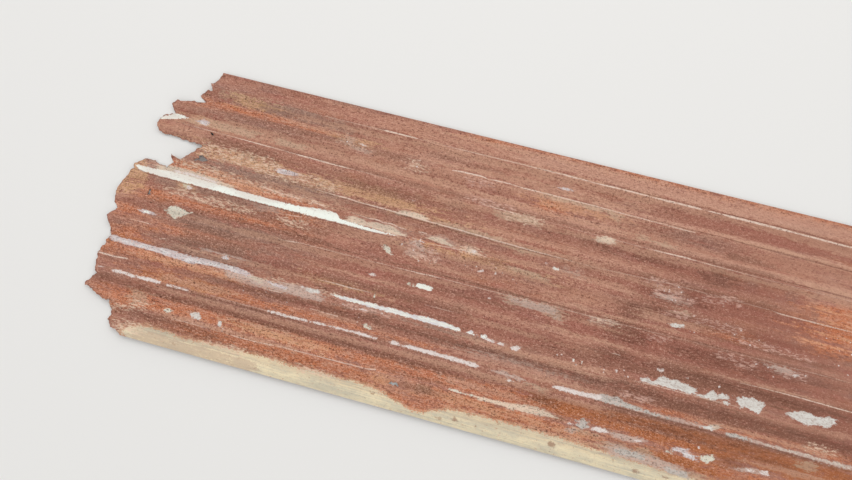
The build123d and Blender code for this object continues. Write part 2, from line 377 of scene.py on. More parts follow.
# Lighter tan along the crests and far flanks: worn crests, and painted light on the far flanks that face
# the light
CREST_WEAR_AND_PAINTED_LIGHT = [
    [(1340, 289, 300), (1560, 289, 300), (1900, 288, 299), (2438, 287, 298)],
    [(1540, 214, 230), (1760, 213, 229), (2100, 212, 230), (2438, 212, 230)],
    [(1980, 170, 200), (2100, 174, 222), (2438, 176, 226)], [(1000, 226, 252), (1200, 224, 250)],
    [(800, 262, 300), (900, 296, 346), (1000, 300, 340)],
    [(1060, -224, -206), (1240, -224, -206), (1400, -222, -208)],
    [(1100, 366, 410), (1500, 364, 410), (2438, 364, 410)], [(1100, 218, 246), (1460, 216, 244)],
]
ORANGE_RUST = [
    [(124, 86, 112), (180, 86, 112), (292, 84, 110), (370, 80, 106), (430, 78, 98), (540, 74, 90)],
    [(60, -17, 14), (140, -17, 14), (300, -18, 14), (446, -15, 10), (520, -12, 4)],
    [(40, -192, -166), (148, -191, -167), (300, -189, -167), (460, -188, -170)],
    [(180, -240, -214), (386, -240, -214), (560, -236, -216), (700, -232, -218), (850, -226, -218),
     (1000, -225, -218)],
    [(190, 298, 324), (342, 300, 324), (470, 302, 320), (580, 304, 316)],
    [(60, -330, -284), (200, -328, -282), (400, -322, -282), (700, -320, -282), (960, -320, -282),
     (1275, -312, -276), (1330, -302, -282), (1420, -302, -286)],
    [(280, -366, -332), (520, -366, -330), (850, -368, -330), (910, -374, -338)],
    [(915, -392, -374), (985, -406, -374), (1060, -398, -370)],
    [(1020, -368, -326), (1100, -364, -324), (1320, -362, -326), (1450, -364, -332), (1530, -352, -336)],
    [(1630, -232, -221), (1700, -233, -217), (1770, -233, -219)],
    [(1808, -236, -220), (1945, -235, -219), (2040, -230, -216), (2130, -232, -214)],
    [(480, 28, 46), (570, 30, 48)],
    [(2020, 76, 176), (2160, 62, 188), (2320, 60, 190), (2520, 60, 190)],
    [(1700, -352, -326), (1800, -356, -328), (1900, -350, -324), (2050, -354, -320), (2300, -350, -324)],
    [(1000, 406, 416), (1400, 406, 416), (1900, 406, 416), (2438, 406, 416)], (46, -62, 36, 16),
    (224, -89, 46, 12), (118, -334, 34, 14), (1243, 262, 26, 15), (1384, -400, 15, 18),
    (1000, 60, 80, 5), (588, -394, 22, 7), (1122, -396, 26, 7), (1650, -298, 130, 16),
    (2080, 52, 70, 14), (800, -298, 110, 12), [(165, -104, -80), (200, -106, -80), (260, -98, -84)],
    (60, -128, 60, 12), (500, 10, 60, 12), (20, -180, 50, 14), (1800, 20, 60, 10), (1240, 245, 60, 14),
    (760, -300, 90, 14),
]
FOX_STAIN = [
    [(1300, -302, -270), (1400, -304, -268), (1560, -308, -262), (1640, -310, -254), (1800, -310, -252),
     (1940, -308, -254), (2100, -308, -256), (2438, -304, -262)],
    (1720, -345, 120, 14), (1860, -318, 60, 12), (300, -225, 120, 12), (1500, -298, 100, 9),
    (60, -150, 60, 10),
]
OCHRE_STAIN = [
    [(215, 148, 186), (330, 148, 186), (423, 144, 182), (470, 144, 176)],
    [(540, 138, 178), (650, 136, 178), (760, 136, 179), (840, 138, 168), (900, 144, 162)],
    [(915, 47, 59), (1000, 47, 59), (1096, 49, 58)], [(1110, 44, 55), (1190, 41, 53), (1260, 40, 50)],
    [(650, -124, -114), (812, -123, -114)], [(470, -306, -292), (640, -306, -292)],
    [(830, 127, 139), (1010, 126, 136)], (20, 40, 54, 60), (310, -228, 80, 12), (300, 345, 60, 12),
    (640, 300, 60, 16),
]
# Pale dust, and painted light: the rows on the shaded flanks and troughs of the far waves, and the bands
# along the lit far flanks, are lightened as light would lighten them
PALE_DUST_AND_PAINTED_LIGHT = [
    [(232, 226, 260), (400, 228, 260), (650, 222, 258), (900, 216, 256), (1200, 213, 250),
     (1450, 212, 246), (1700, 211, 242), (2100, 212, 240), (2438, 212, 238)],
    [(560, 368, 405), (900, 364, 412), (1500, 362, 412), (2438, 362, 412)],
    [(520, 258, 290), (800, 258, 290), (1150, 260, 288), (1400, 262, 288)],
    [(560, 322, 352), (900, 320, 352), (1200, 324, 352)],
    [(1320, 285, 300), (1560, 285, 298), (1900, 284, 296), (2438, 284, 296)],
    [(885, -372, -310), (930, -378, -310), (985, -380, -314), (1006, -372, -350)],
    [(1240, 254, 284), (1360, 254, 286), (1500, 256, 282)],
    [(1296, -224, -198), (1340, -228, -194), (1372, -224, -198)],
    [(1040, 128, 160), (1300, 132, 156), (1560, 132, 152)],
    [(1900, -178, -169), (2100, -177, -168), (2438, -177, -168)],
    [(40, 188, 226), (120, 190, 224), (200, 196, 218)],
    [(1800, 238, 280), (2000, 238, 282), (2200, 240, 280)],
    [(1000, -97, -88), (1400, -97, -88), (1640, -97, -89)], [(700, 296, 318), (1100, 298, 318)],
    [(1300, 0, 52), (1430, 2, 54), (1490, 6, 42)], (1420, -116, 60, 16), (20, 20, 52, 60),
    (412, -52, 34, 15), (1290, 330, 80, 16), (620, 10, 120, 18), (1480, 340, 60, 16),
]
PEACH_WASH = [
    [(200, 80, 110), (300, 77, 109), (360, 75, 106), (412, 78, 102)],
    [(1020, -352, -334), (1240, -352, -336)], [(1300, -354, -340), (1500, -356, -340)],
    [(150, -186, -171), (430, -184, -171)], (1440, -342, 30, 12), (900, -345, 30, 14),
    [(500, -312, -292), (740, -312, -292)], (1300, 268, 110, 12), (180, 250, 60, 12),
    [(2030, 58, 60), (2438, 58, 60)], [(2030, 90, 92), (2438, 90, 92)],
    [(2030, 122, 124), (2438, 122, 124)], [(2030, 154, 156), (2438, 154, 156)],
]
# Pale bands along the waves: partly the rust's own tone, partly painted light that lightens flanks and
# troughs lying in shade
PALE_TONE_AND_PAINTED_LIGHT_BANDS = [
    [(220, -268, -257), (430, -270, -256), (640, -271, -257), (860, -267, -253), (1300, -268, -252),
     (1500, -273, -259)],
    [(260, -332, -320), (500, -332, -321), (660, -331, -323)], [(430, -296, -288), (640, -296, -288)],
    [(220, -234, -216), (420, -232, -216)],
    [(1090, -234, -227), (1300, -234, -224), (1500, -234, -219)],
    [(1740, -226, -218), (1900, -229, -218), (2080, -232, -218)],
    [(230, -132, -126), (430, -131, -119), (620, -132, -116)], [(230, -174, -166), (410, -174, -166)],
    [(640, -84, -76), (860, -84, -76)], [(1085, -125, -111), (1300, -124, -112)],
    [(225, -46, -34), (420, -50, -34), (640, -50, -33), (860, -46, -32), (1080, -41, -32)],
    [(1100, -182, -170), (1300, -184, -168), (1490, -188, -158)], [(1310, -90, -82), (1520, -90, -82)],
    [(1310, -50, -40), (1520, -50, -40)], [(1310, -14, -3), (1740, -12, -4)],
    [(870, -6, 4), (1080, -6, 4)], [(1560, 8, 32), (1740, 10, 32)], [(650, 22, 50), (860, 24, 48)],
    [(870, 31, 38), (1080, 30, 42), (1300, 28, 44)],
    [(225, 98, 108), (420, 95, 106), (640, 89, 98), (860, 86, 98)],
    [(225, 246, 275), (430, 246, 270), (650, 242, 262), (880, 236, 258), (1100, 232, 250),
     (1300, 228, 240), (1520, 224, 236)],
    [(430, 331, 344), (860, 337, 348), (1080, 334, 352), (1300, 334, 352), (1740, 338, 352),
     (1900, 336, 350), (2060, 324, 350), (2500, 324, 350)],
    [(640, 356, 362), (860, 352, 360), (1080, 350, 360), (1520, 347, 360)],
    [(880, 298, 303), (1080, 297, 318), (1300, 296, 318), (1500, 297, 314)],
    [(1080, 274, 282), (1500, 276, 282)],
    [(1090, 104, 131), (1300, 104, 126), (1520, 100, 116), (1640, 102, 112)],
    [(1090, 68, 82), (1300, 64, 83), (1520, 60, 84)], [(430, 309, 323), (640, 309, 323)],
    [(430, -184, -178), (640, -184, -178)], [(640, -213, -206), (860, -213, -207)],
    [(880, 186, 205), (1080, 190, 203), (1300, 190, 200), (1520, 183, 198), (1740, 184, 198),
     (1900, 184, 196), (2500, 183, 195)],
    [(1900, -300, -288), (2100, -300, -288)], [(1085, -305, -287), (1300, -304, -288)],
    [(1300, -368, -354), (1520, -368, -354)], [(1740, -96, -91), (2060, -95, -88)],
    [(880, 393, 402), (1080, 395, 404), (1500, 399, 405)], [(1910, 207, 222), (2500, 206, 222)],
    [(1740, 286, 292), (1900, 282, 293), (2500, 282, 294)], [(420, 110, 118), (640, 110, 118)],
]
# Dark bands along the waves: partly the rust's own tone, partly painted shade on flanks, crests and
# troughs
DARK_TONE_AND_PAINTED_SHADE_BANDS = [
    [(225, -284, -273), (640, -284, -275), (860, -284, -273), (1080, -284, -279)],
    [(880, -316, -308), (1080, -316, -309)],
    [(225, -254, -246), (420, -252, -244), (640, -251, -243), (860, -250, -242), (1080, -247, -241)],
    [(1530, -256, -244), (1740, -254, -244)], [(225, -74, -53), (430, -72, -56)],
    [(870, -62, -53), (1080, -66, -54), (1200, -62, -54)], [(225, -122, -82), (430, -116, -84)],
    [(225, -31, -24), (430, -30, -24)], [(870, -20, -14), (1080, -20, -14)],
    [(1090, -27, -15), (1300, -27, -20), (1520, -27, -21), (1900, -28, -21), (2080, -28, -22)],
    [(225, 8, 16), (430, 3, 27), (640, 3, 27)], [(430, -16, -8), (640, -16, -8)],
    [(650, -114, -98), (1080, -112, -94)], [(650, -147, -133), (860, -140, -132), (1080, -138, -132)],
    [(1300, -146, -128), (1740, -145, -122), (1900, -138, -120)],
    [(870, -198, -191), (1300, -203, -196), (1480, -208, -202)],
    [(1500, -214, -198), (1560, -217, -193), (1740, -216, -194), (1900, -214, -198), (2080, -212, -203)],
    [(1085, 50, 62), (1260, 48, 58)], [(1750, 20, 30), (1900, 20, 30)],
    [(1530, 119, 131), (1740, 118, 130), (1900, 117, 128)], [(430, 131, 141), (640, 131, 141)],
    [(640, 168, 186), (860, 168, 186)], [(225, 186, 217), (420, 188, 214)],
    [(430, 219, 230), (640, 217, 227), (860, 214, 225), (1080, 210, 224), (1300, 209, 220),
     (1520, 209, 217), (1900, 207, 217)],
    [(225, 284, 295), (430, 283, 301), (640, 279, 299), (860, 277, 296)],
    [(870, 317, 329), (1080, 318, 328)], [(1750, 234, 252), (1900, 234, 250)],
    [(1750, 2, 10), (1900, -2, 9), (2080, -6, 8)],
    [(1530, -288, -279), (1740, -287, -280), (1900, -286, -281)],
    [(225, -372, -360), (430, -368, -359), (860, -366, -361)], [(960, -347, -333), (1060, -347, -333)],
]
# Slate stains, and painted shade: most lie on the shaded near flanks and in the troughs, darkening them
# as shade would
SLATE_STAIN_AND_PAINTED_SHADE = [
    [(240, 324, 362), (420, 324, 360), (560, 324, 356), (700, 326, 350)],
    [(180, 268, 302), (346, 268, 300), (520, 270, 298)],
    [(200, -68, -28), (311, -68, -30), (480, -62, -30), (580, -56, -32)],
    [(210, -124, -99), (304, -123, -99), (400, -114, -101)],
    [(1100, -204, -184), (1400, -205, -182), (1570, -208, -184)],
    [(1560, -258, -245), (1760, -258, -244), (2080, -256, -245)],
    [(220, 117, 140), (427, 118, 140), (600, 119, 137)], (506, -72, 60, 20), (1745, 170, 34, 14),
    (1690, 262, 110, 18), (1990, -38, 70, 12), (1950, 175, 20, 24), (2012, 160, 14, 46),
    (560, -100, 40, 14), (400, -252, 160, 8), (1830, 176, 22, 20), (1625, 265, 40, 16),
]
GREY_STAIN = [
    [(205, -74, -28), (330, -72, -30), (420, -62, -28), (500, -54, -28)],
    [(200, -124, -104), (300, -122, -100), (430, -114, -98)],
    [(190, -148, -122), (330, -148, -122), (450, -142, -122)],
    [(215, 112, 136), (350, 108, 137), (560, 108, 137), (640, 112, 134)],
    [(100, 32, 51), (300, 32, 51), (620, 34, 51)], [(800, -172, -166), (1150, -172, -166)],
    (540, 44, 50, 14), [(215, 322, 354), (400, 322, 354), (620, 324, 350)],
    [(260, -342, -330), (400, -342, -330)],
]
# Dark stains, and painted shade: most lie on the shaded near flanks and in the troughs, darkening them
# as shade would
DARK_STAIN_AND_PAINTED_SHADE = [
    [(190, -284, -269), (400, -284, -268), (700, -284, -267), (1100, -282, -269)],
    [(380, -204, -188), (520, -204, -186), (800, -203, -185), (1080, -201, -186), (1250, -201, -185)],
    [(1180, -200, -184), (1400, -202, -182), (1756, -212, -180), (2100, -212, -180), (2438, -208, -186)],
    [(130, -352, -336), (330, -352, -336), (420, -352, -340)],
    [(1560, -256, -245), (1900, -256, -245), (2080, -254, -246)],
    [(150, -25, -13), (350, -24, -12), (640, -22, -13)], (1400, 182, 60, 9), (1556, 178, 50, 12),
    (1750, 172, 50, 24), (1532, 14, 40, 24), (1525, -48, 62, 20), (1336, -278, 34, 12),
    (1870, -314, 40, 16), (1800, -112, 200, 17), (2010, -116, 110, 16), (140, -276, 70, 8),
    (1650, 36, 60, 8), (1820, -58, 140, 16), (1630, 84, 90, 20), (1700, -274, 90, 7),
    (1950, -284, 60, 7), (1500, -110, 60, 14), (1850, -262, 70, 5), (320, -268, 60, 8),
    (50, -275, 44, 11),
]
# Maroon stains, partly painted shade on the shaded near flanks and troughs
MAROON_STAIN_AND_PAINTED_SHADE = [
    [(190, -286, -268), (400, -286, -267), (700, -285, -267)],
    [(1640, 306, 348), (1740, 302, 353), (1820, 302, 353), (2100, 302, 352), (2438, 304, 350)],
    [(1100, 250, 272), (1210, 252, 270)], [(180, -20, -2), (446, -22, -8), (640, -24, -4)],
    [(1460, 70, 110), (1600, 68, 114), (1900, 68, 114), (2080, 74, 112)],
    [(700, -142, -70), (1100, -142, -98), (1300, -142, -98), (1590, -140, -98)],
    [(700, -70, -30), (1100, -84, -28), (1500, -84, -28), (2000, -84, -28)],
    [(340, -122, -104), (520, -124, -98), (700, -126, -100)],
    [(560, -14, 20), (700, -16, 18), (880, -14, 10), (1000, -10, 4)],
    [(1500, 158, 176), (1700, 158, 176), (1900, 158, 174)], (640, 380, 110, 26), (1850, 262, 100, 18),
    (1950, 330, 120, 20), (660, 10, 150, 24), (1960, 90, 110, 22), (1720, 96, 150, 24),
    (1960, 30, 100, 14), (1300, 62, 160, 22), (1730, -2, 140, 14),
]
DEEP_TONE = [
    (1780, -85, 330, 62), (1740, -200, 460, 30), (1740, 40, 260, 46), (1760, 170, 150, 34),
    (1760, 90, 260, 30), (1530, -45, 90, 50), (2250, -160, 260, 100), (420, -110, 160, 22),
    (1320, -270, 120, 20), (1480, -130, 200, 26),
]

# Thin bright lines worn along the crests: in, across and width
WORN_LINES = [
    [(520, 355, 1.5), (715, 356, 1.6), (722, 356, 3.6), (816, 356, 3.4), (822, 355, 1)],
    [(822, 355, 1), (1000, 355, 2.2), (1150, 355.5, 2.4), (1240, 355.5, 3.6), (1300, 355, 3.8),
     (1345, 354, 2.6), (1390, 354, 3.8), (1490, 354, 3.8), (1508, 354, 2.4), (1560, 353.5, 4.8),
     (1655, 353.5, 4.6), (1665, 353, 1), (1684, 353, 3.4), (1710, 353, 3.2), (1718, 353, 0.8),
     (1730, 353, 5.2), (1860, 352.5, 5.4), (1945, 352, 4.6), (2050, 350, 4.2), (2200, 350, 3.4),
     (2438, 350, 3)],
    [(824, 291, 2.4), (850, 294, 3)],
    [(930, 285, 1.6), (958, 289.5, 4.4), (1034, 291, 4.4), (1042, 287, 1.8)],
    [(1044, 285, 1.6), (1070, 289, 3.6), (1110, 289, 3.4), (1140, 287, 2.4), (1160, 287, 3.8),
     (1215, 287, 3.6), (1360, 286, 2.6), (1500, 283.5, 2.8), (1600, 282, 2.4), (1655, 281, 2.6)],
    [(120, 228, 1.6), (200, 227, 2.4), (260, 226, 2), (300, 225, 3.2), (380, 223, 4), (420, 222, 2),
     (480, 220, 2.4), (500, 219, 4.4), (560, 218, 4.4), (636, 217, 3.4), (660, 217, 1), (680, 217, 2),
     (820, 213, 0.8)],
    [(1040, 209, 1.6), (1090, 208, 2.4), (1200, 206, 1), (1540, 202, 1.8), (1583, 202.5, 3.4),
     (1640, 202.5, 3.8), (1680, 201.5, 1.6), (1700, 201.5, 2.8), (1795, 200.5, 1.8), (1900, 199, 1.3),
     (2100, 198, 1.2), (2438, 198, 1.2)],
    [(560, 132, 1.6), (640, 128, 2.8), (665, 129, 4), (680, 127, 2.4), (760, 125, 3.4), (850, 124, 3.4),
     (950, 121, 3), (1040, 119, 3.4), (1120, 117, 3.2), (1240, 115, 2.8), (1400, 113, 1.4),
     (1560, 118, 2), (1620, 120, 1.6), (1900, 118, 1.4), (1920, 115, 2.8), (2090, 115, 2.8),
     (2300, 115, 1.6)],
    [(408, 103, 2.4), (440, 98, 3), (480, 97, 3), (515, 96, 4.4), (535, 94, 1)],
    [(556, 97, 2.6), (612, 93, 3.2)],
    [(686, 94, 1.8), (740, 89, 2.6), (765, 92, 3.6), (785, 87, 2.4), (812, 91, 3.4), (830, 86, 2.6),
     (862, 85, 3)],
    [(495, 38, 1.8), (530, 40, 2.6), (564, 44, 2.8)], [(880, 86, 2), (900, 89, 3.6), (925, 88, 3)],
    [(920, 58, 1.6), (960, 61, 2.2), (1010, 63, 2.4), (1060, 66, 2.4), (1090, 64, 1.8), (1110, 60, 1.2)],
    [(500, -37, 2), (530, -36, 2), (552, -34, 3.4), (560, -33, 2), (790, -32, 1.8), (815, -31, 3),
     (830, -32, 1.4), (930, -31, 3), (965, -29, 3), (1000, -29, 1.8), (1340, -26, 1.6),
     (1450, -27, 2.4), (1520, -26, 1.8), (1700, -24, 0.8), (2050, -23, 1.4), (2438, -23, 1.2)],
    [(70, -91, 1.6), (130, -90, 2.6), (140, -90, 1)], [(112, -121, 2), (140, -121, 2.4)],
    [(162, -125, 2.4), (192, -118, 2.6)],
    [(640, -120, 1.4), (700, -119, 3), (745, -120, 3), (810, -118, 1.6)],
    [(960, -113, 1.4), (1030, -112, 2), (1060, -112, 0.8)],
    [(1490, -110, 1.4), (1510, -109, 2.6), (1532, -110, 1.4)],
    [(1840, -99, 1.6), (1960, -97, 2.6), (2110, -99, 3.2), (2438, -99, 2)],
    [(-8, -206, 3.4), (60, -206, 4.2), (95, -203, 4), (104, -203, 1)],
    [(370, -244, 1.4), (470, -244, 1.8), (545, -244, 1.8)],
    [(280, -333, 2.2), (330, -333, 2.2), (440, -333, 1), (480, -335, 3.4), (540, -334, 2.8),
     (558, -332, 3.4), (580, -331, 3.8), (590, -331, 1.4), (610, -329, 2.8), (680, -328, 2.2),
     (730, -327, 2.4), (860, -325, 2.6), (882, -320, 3.6), (890, -320, 1)],
    [(350, 298, 3), (368, 300, 3.4)], [(640, -206, 2), (740, -206, 2.4)],
    [(500, -185, 1.6), (540, -185, 3), (575, -183, 1.6)],
    [(1560, -168, 1.2), (1600, -166, 2.6), (1740, -165, 2), (1870, -164, 1.6)],
]

# Painted shadow lines: dark lines drawn along the shaded side of the worn crest lines and along the
# edges of the limewash strips, in, across and width
PAINTED_SHADOW_LINES = [
    [(1480, 289, 1.4), (1580, 287, 2.6), (1720, 286, 3.6), (1900, 284, 4.6), (2100, 281, 5),
     (2438, 281, 4)],
    [(1640, 208, 1.4), (1720, 206, 4), (1900, 206, 3.4), (2050, 206, 4), (2438, 206, 3)],
    [(600, 126, 1.4), (760, 121, 3.2), (850, 119.5, 3.6), (1000, 115, 3.4), (1120, 113, 2.2),
     (1300, 112, 1.4)],
    [(540, -20, 1.4), (760, -22, 3), (1100, -21, 3.6), (1300, -20, 3), (1860, -20, 2.4)],
    [(36, 60, 2), (70, 52.5, 3), (150, 51.5, 4), (300, 49.5, 4.5), (450, 48.5, 5), (600, 48.5, 4.5),
     (700, 49, 3), (820, 51, 1.6)],
    [(1700, -110, 3), (1880, -112, 4), (2000, -113, 3)],
    [(175, -143, 2.6), (300, -145, 3.4), (440, -144, 3.4), (470, -149, 1.6)],
    [(700, -146, 1.6), (780, -143, 3.2), (900, -140, 3.4), (1030, -140, 2.6)],
    [(1540, -248, 2.4), (1640, -247, 4.4), (1780, -247, 5), (1930, -247, 4.4), (2080, -248, 2.4)],
    [(1368, 360, 1.4), (1440, 359, 2.6), (1540, 358.5, 2.4), (1640, 358.5, 3.6), (1780, 358, 2.6),
     (1980, 357, 3.4), (2100, 355, 2.2)],
    [(400, -250, 3.4), (520, -250, 4.6), (610, -249, 4), (640, -249, 1.4)],
    [(738, -247, 2), (790, -247, 4.4), (862, -246, 3.6)],
    [(240, -252, 1.4), (340, -251, 3), (400, -250, 3.4)],
]

# Colours, as linear red, green and blue
RUST_TONES = [
    (0.215, 0.084, 0.060), (0.300, 0.120, 0.083), (0.365, 0.158, 0.108), (0.425, 0.200, 0.138),
    (0.490, 0.260, 0.185), (0.580, 0.350, 0.265),
]
VIOLET_RUST = (0.310, 0.165, 0.135)
OLIVE_RUST = (0.290, 0.185, 0.110)
FOX_RUST = (0.430, 0.170, 0.090)
GREY_RUST = (0.300, 0.200, 0.155)
CRIMSON_RUST = (0.400, 0.135, 0.105)
ZINC_RUST = (0.300, 0.150, 0.090)
PEACH_RUST = (0.700, 0.370, 0.215)
PIT_RUST = (0.110, 0.040, 0.026)
CRUMB_RUST = (0.720, 0.430, 0.330)
# Slate, maroon and umber also serve as painted shade on shaded flanks and troughs, and umber in the
# painted shadow lines
SLATE = (0.270, 0.148, 0.112)
MAROON = (0.330, 0.108, 0.078)
UMBER = (0.160, 0.064, 0.040)
ORANGE = (0.575, 0.180, 0.070)
SALMON = (0.570, 0.265, 0.165)
OCHRE = (0.620, 0.370, 0.195)
FOX = (0.420, 0.135, 0.040)
DEEP = (0.200, 0.064, 0.038)
# The next tan is pale dust and also painted light on the waves
DUST_AND_LIGHT_TAN = (0.560, 0.295, 0.200)
# The next two colours are partly painted light and painted shade across the waves
BAND_TAN = (0.550, 0.310, 0.210)
BAND_BROWN = (0.245, 0.110, 0.072)
# The next tan is also painted light on the lit far flanks
CREST_TAN = (0.580, 0.330, 0.240)
ZINC_CREAM = (0.830, 0.720, 0.490)
ZINC_GREY = (0.560, 0.520, 0.400)
UNDERSIDE_ZINC = (0.330, 0.320, 0.290)
PEACH = (0.660, 0.380, 0.220)
CHALK_CREAM = (0.790, 0.590, 0.440)
CREAM = (0.740, 0.720, 0.600)
CREAM_SHADE = (0.560, 0.500, 0.400)
WORN_CREAM = (0.800, 0.630, 0.520)
FILM_PINK = (0.530, 0.380, 0.310)
FILM_CREAM = (0.560, 0.400, 0.280)
DUST_CREAM = (0.600, 0.470, 0.400)
DUST_PINK = (0.520, 0.375, 0.320)
SOFT_CREAM = (0.800, 0.640, 0.490)
SOFT_GREY = (0.620, 0.520, 0.410)
FLECK_PINK = (0.700, 0.440, 0.360)
MILK_WHITE = (0.800, 0.790, 0.780)
MILK_LILAC = (0.620, 0.540, 0.540)
MILK_PINK = (0.500, 0.380, 0.340)
LIME_WHITE = (0.880, 0.910, 0.830)
LIME_CREAM = (0.780, 0.740, 0.670)
LIME_PALE = (0.750, 0.740, 0.690)
LIME_LILAC = (0.780, 0.695, 0.655)
RIDGE_LILAC = (0.720, 0.690, 0.700)
LIME_GREY = (0.490, 0.400, 0.350)
LIME_PINK = (0.480, 0.360, 0.300)
PALE_LIME_GREY = (0.560, 0.540, 0.500)
DIM_LIME_GREY = (0.400, 0.340, 0.285)

# Sockets of the Mix node for colours: factor and the two colours, and the result
MIX_INPUTS = (0, 6, 7)
MIX_OUTPUT = 2

# Noises of the material: length along and width across of a feature in millimetres,
# seed, detail and roughness. Each seed shifts its noise, and the gain stretches it.
NOISE_SHIFT = (7.3, 3.1, 5.7)
NOISE_GAIN = 4.0
NOISES = {
    "blotch": (230, 46, 1, 3, 0.55),
    "tint": (140, 34, 6, 3, 0.55),
    "bloom": (85, 32, 15, 3, 0.55),
    "stain": (62, 15, 2, 4, 0.6),
    "streak": (190, 4.2, 3, 3, 0.6),
    "scratch": (80, 2.6, 14, 2, 0.6),
    "smear": (26, 9, 10, 3, 0.6),
    "patch": (17, 11, 12, 5, 0.7),
    "mottle": (13, 7, 4, 3, 0.65),
    "crumble": (15, 4.5, 13, 4, 0.7),
    "flake": (8, 5, 8, 4, 0.7),
    "crumbs": (7.5, 5.5, 7, 2, 0.6),
    "grain": (3.4, 3, 5, 2, 0.7),
}

# Noises added up with their shares: the raggedness of edges, and tones
MIXTURES = {
    "broad_edge": {"blotch": 0.5, "stain": 0.6, "streak": 0.3, "mottle": 0.3},
    "soft_edge": {"stain": 0.45, "streak": 0.4, "smear": 0.5, "mottle": 0.4},
    "film_edge": {"smear": 0.5, "streak": 0.4, "flake": 0.6, "grain": 0.35},
    "chip_edge": {"patch": 0.3, "flake": 0.7, "grain": 0.5},
    "patchy_edge": {"patch": 0.8, "flake": 0.5, "grain": 0.3},
    "crumbly_edge": {"crumble": 0.85, "grain": 0.4},
    "zinc_edge": {"smear": 8.0, "flake": 6.0},
    "burnt_edge": {"mottle": 4.0},
    "rust": {
        "blotch": 0.2, "stain": 0.2, "streak": 0.24, "mottle": 0.3, "smear": 0.2, "flake": 0.2,
        "scratch": 0.2,
    },
    "olive": {"streak": 0.7, "stain": 0.5, "scratch": 0.3},
    "zinc": {"tint": 0.6, "streak": 0.6, "smear": 0.4},
    "underside": {"blotch": 0.5, "stain": 0.6, "mottle": 0.3},
    "fleck": {"flake": 0.6, "crumbs": 0.5, "grain": 0.25},
    "large_fleck": {"fleck": 0.8, "patch": 0.5},
    "wobble": {"stain": 0.9, "mottle": 0.45},
    "grit": {"grain": 0.85, "crumbs": 0.6, "flake": 0.3, "scratch": 0.3},
    "scale": {"grain": -0.05, "crumbs": -0.06, "mottle": 0.12},
}

# Colours blended into the rust. A blend is a noise or mixture, the values between which
# it fades in, how far it does, and the colour it fades to.
RUST_BLENDS = [
    ("tint", 0.1, 1.1, 0.55, VIOLET_RUST), ("tint", -0.1, -1.1, 0.5, FOX_RUST),
    ("bloom", 0, 1, 0.45, CRIMSON_RUST), ("bloom", -0.2, -1.1, 0.4, GREY_RUST),
    ("olive", 0.1, 1, 0.5, OLIVE_RUST),
]

# Each finish, in the order in which they lie on one another: its marks, how fast it fades
# towards a mark's ends as a share of the distance, the depth past which it is no thicker,
# the raggedness and softness of its edge in millimetres, its strength, the mixture that
# makes its edge ragged, its colour, and any blends of its colour
# Some of these are partly painted light and painted shade across the waves: the pale dust, the crest
# tan, the pale and dark bands, and the slate, maroon and dark stains
STAINS_AND_PAINTED_SHADING = {
    "deep_tone": (DEEP_TONE, 0.5, 24, 50, 28, 0.36, "broad_edge", DEEP),
    "slate_stain_and_painted_shade": (SLATE_STAIN_AND_PAINTED_SHADE, 0.11, 8, 22, 11, 0.55, "soft_edge", SLATE),
    "maroon_stain_and_painted_shade": (MAROON_STAIN_AND_PAINTED_SHADE, 0.1, 8, 20, 12, 0.45, "soft_edge", MAROON),
    "pale_dust_and_painted_light": (PALE_DUST_AND_PAINTED_LIGHT, 0.11, 8, 20, 11, 0.55, "soft_edge", DUST_AND_LIGHT_TAN),
    "grey_stain": (GREY_STAIN, 0.12, 8, 20, 8, 0.6, "soft_edge", GREY_RUST),
    "orange_rust": (
        ORANGE_RUST, 0.12, 8, 22, 11, 0.85, "soft_edge", ORANGE, ("smear", -0.3, 0.8, 1, SALMON),
    ),
    "ochre_stain": (OCHRE_STAIN, 0.12, 8, 22, 10, 0.7, "soft_edge", OCHRE),
    "fox_stain": (FOX_STAIN, 0.12, 9, 22, 10, 0.8, "soft_edge", FOX),
    "dark_stain_and_painted_shade": (DARK_STAIN_AND_PAINTED_SHADE, 0.11, 7, 20, 10, 0.6, "soft_edge", UMBER),
    "crest_wear_and_painted_light": (CREST_WEAR_AND_PAINTED_LIGHT, 0.1, 5, 10, 4, 0.42, "soft_edge", CREST_TAN),
    "peach_wash": (PEACH_WASH, 0.15, 7, 16, 7, 0.6, "soft_edge", PEACH_RUST),
    "pale_tone_and_painted_light_bands": (PALE_TONE_AND_PAINTED_LIGHT_BANDS, 0.12, 5, 9, 4, 0.62, "soft_edge", BAND_TAN),
    "dark_tone_and_painted_shade_bands": (DARK_TONE_AND_PAINTED_SHADE_BANDS, 0.12, 5, 9, 4, 0.62, "soft_edge", BAND_BROWN),
}
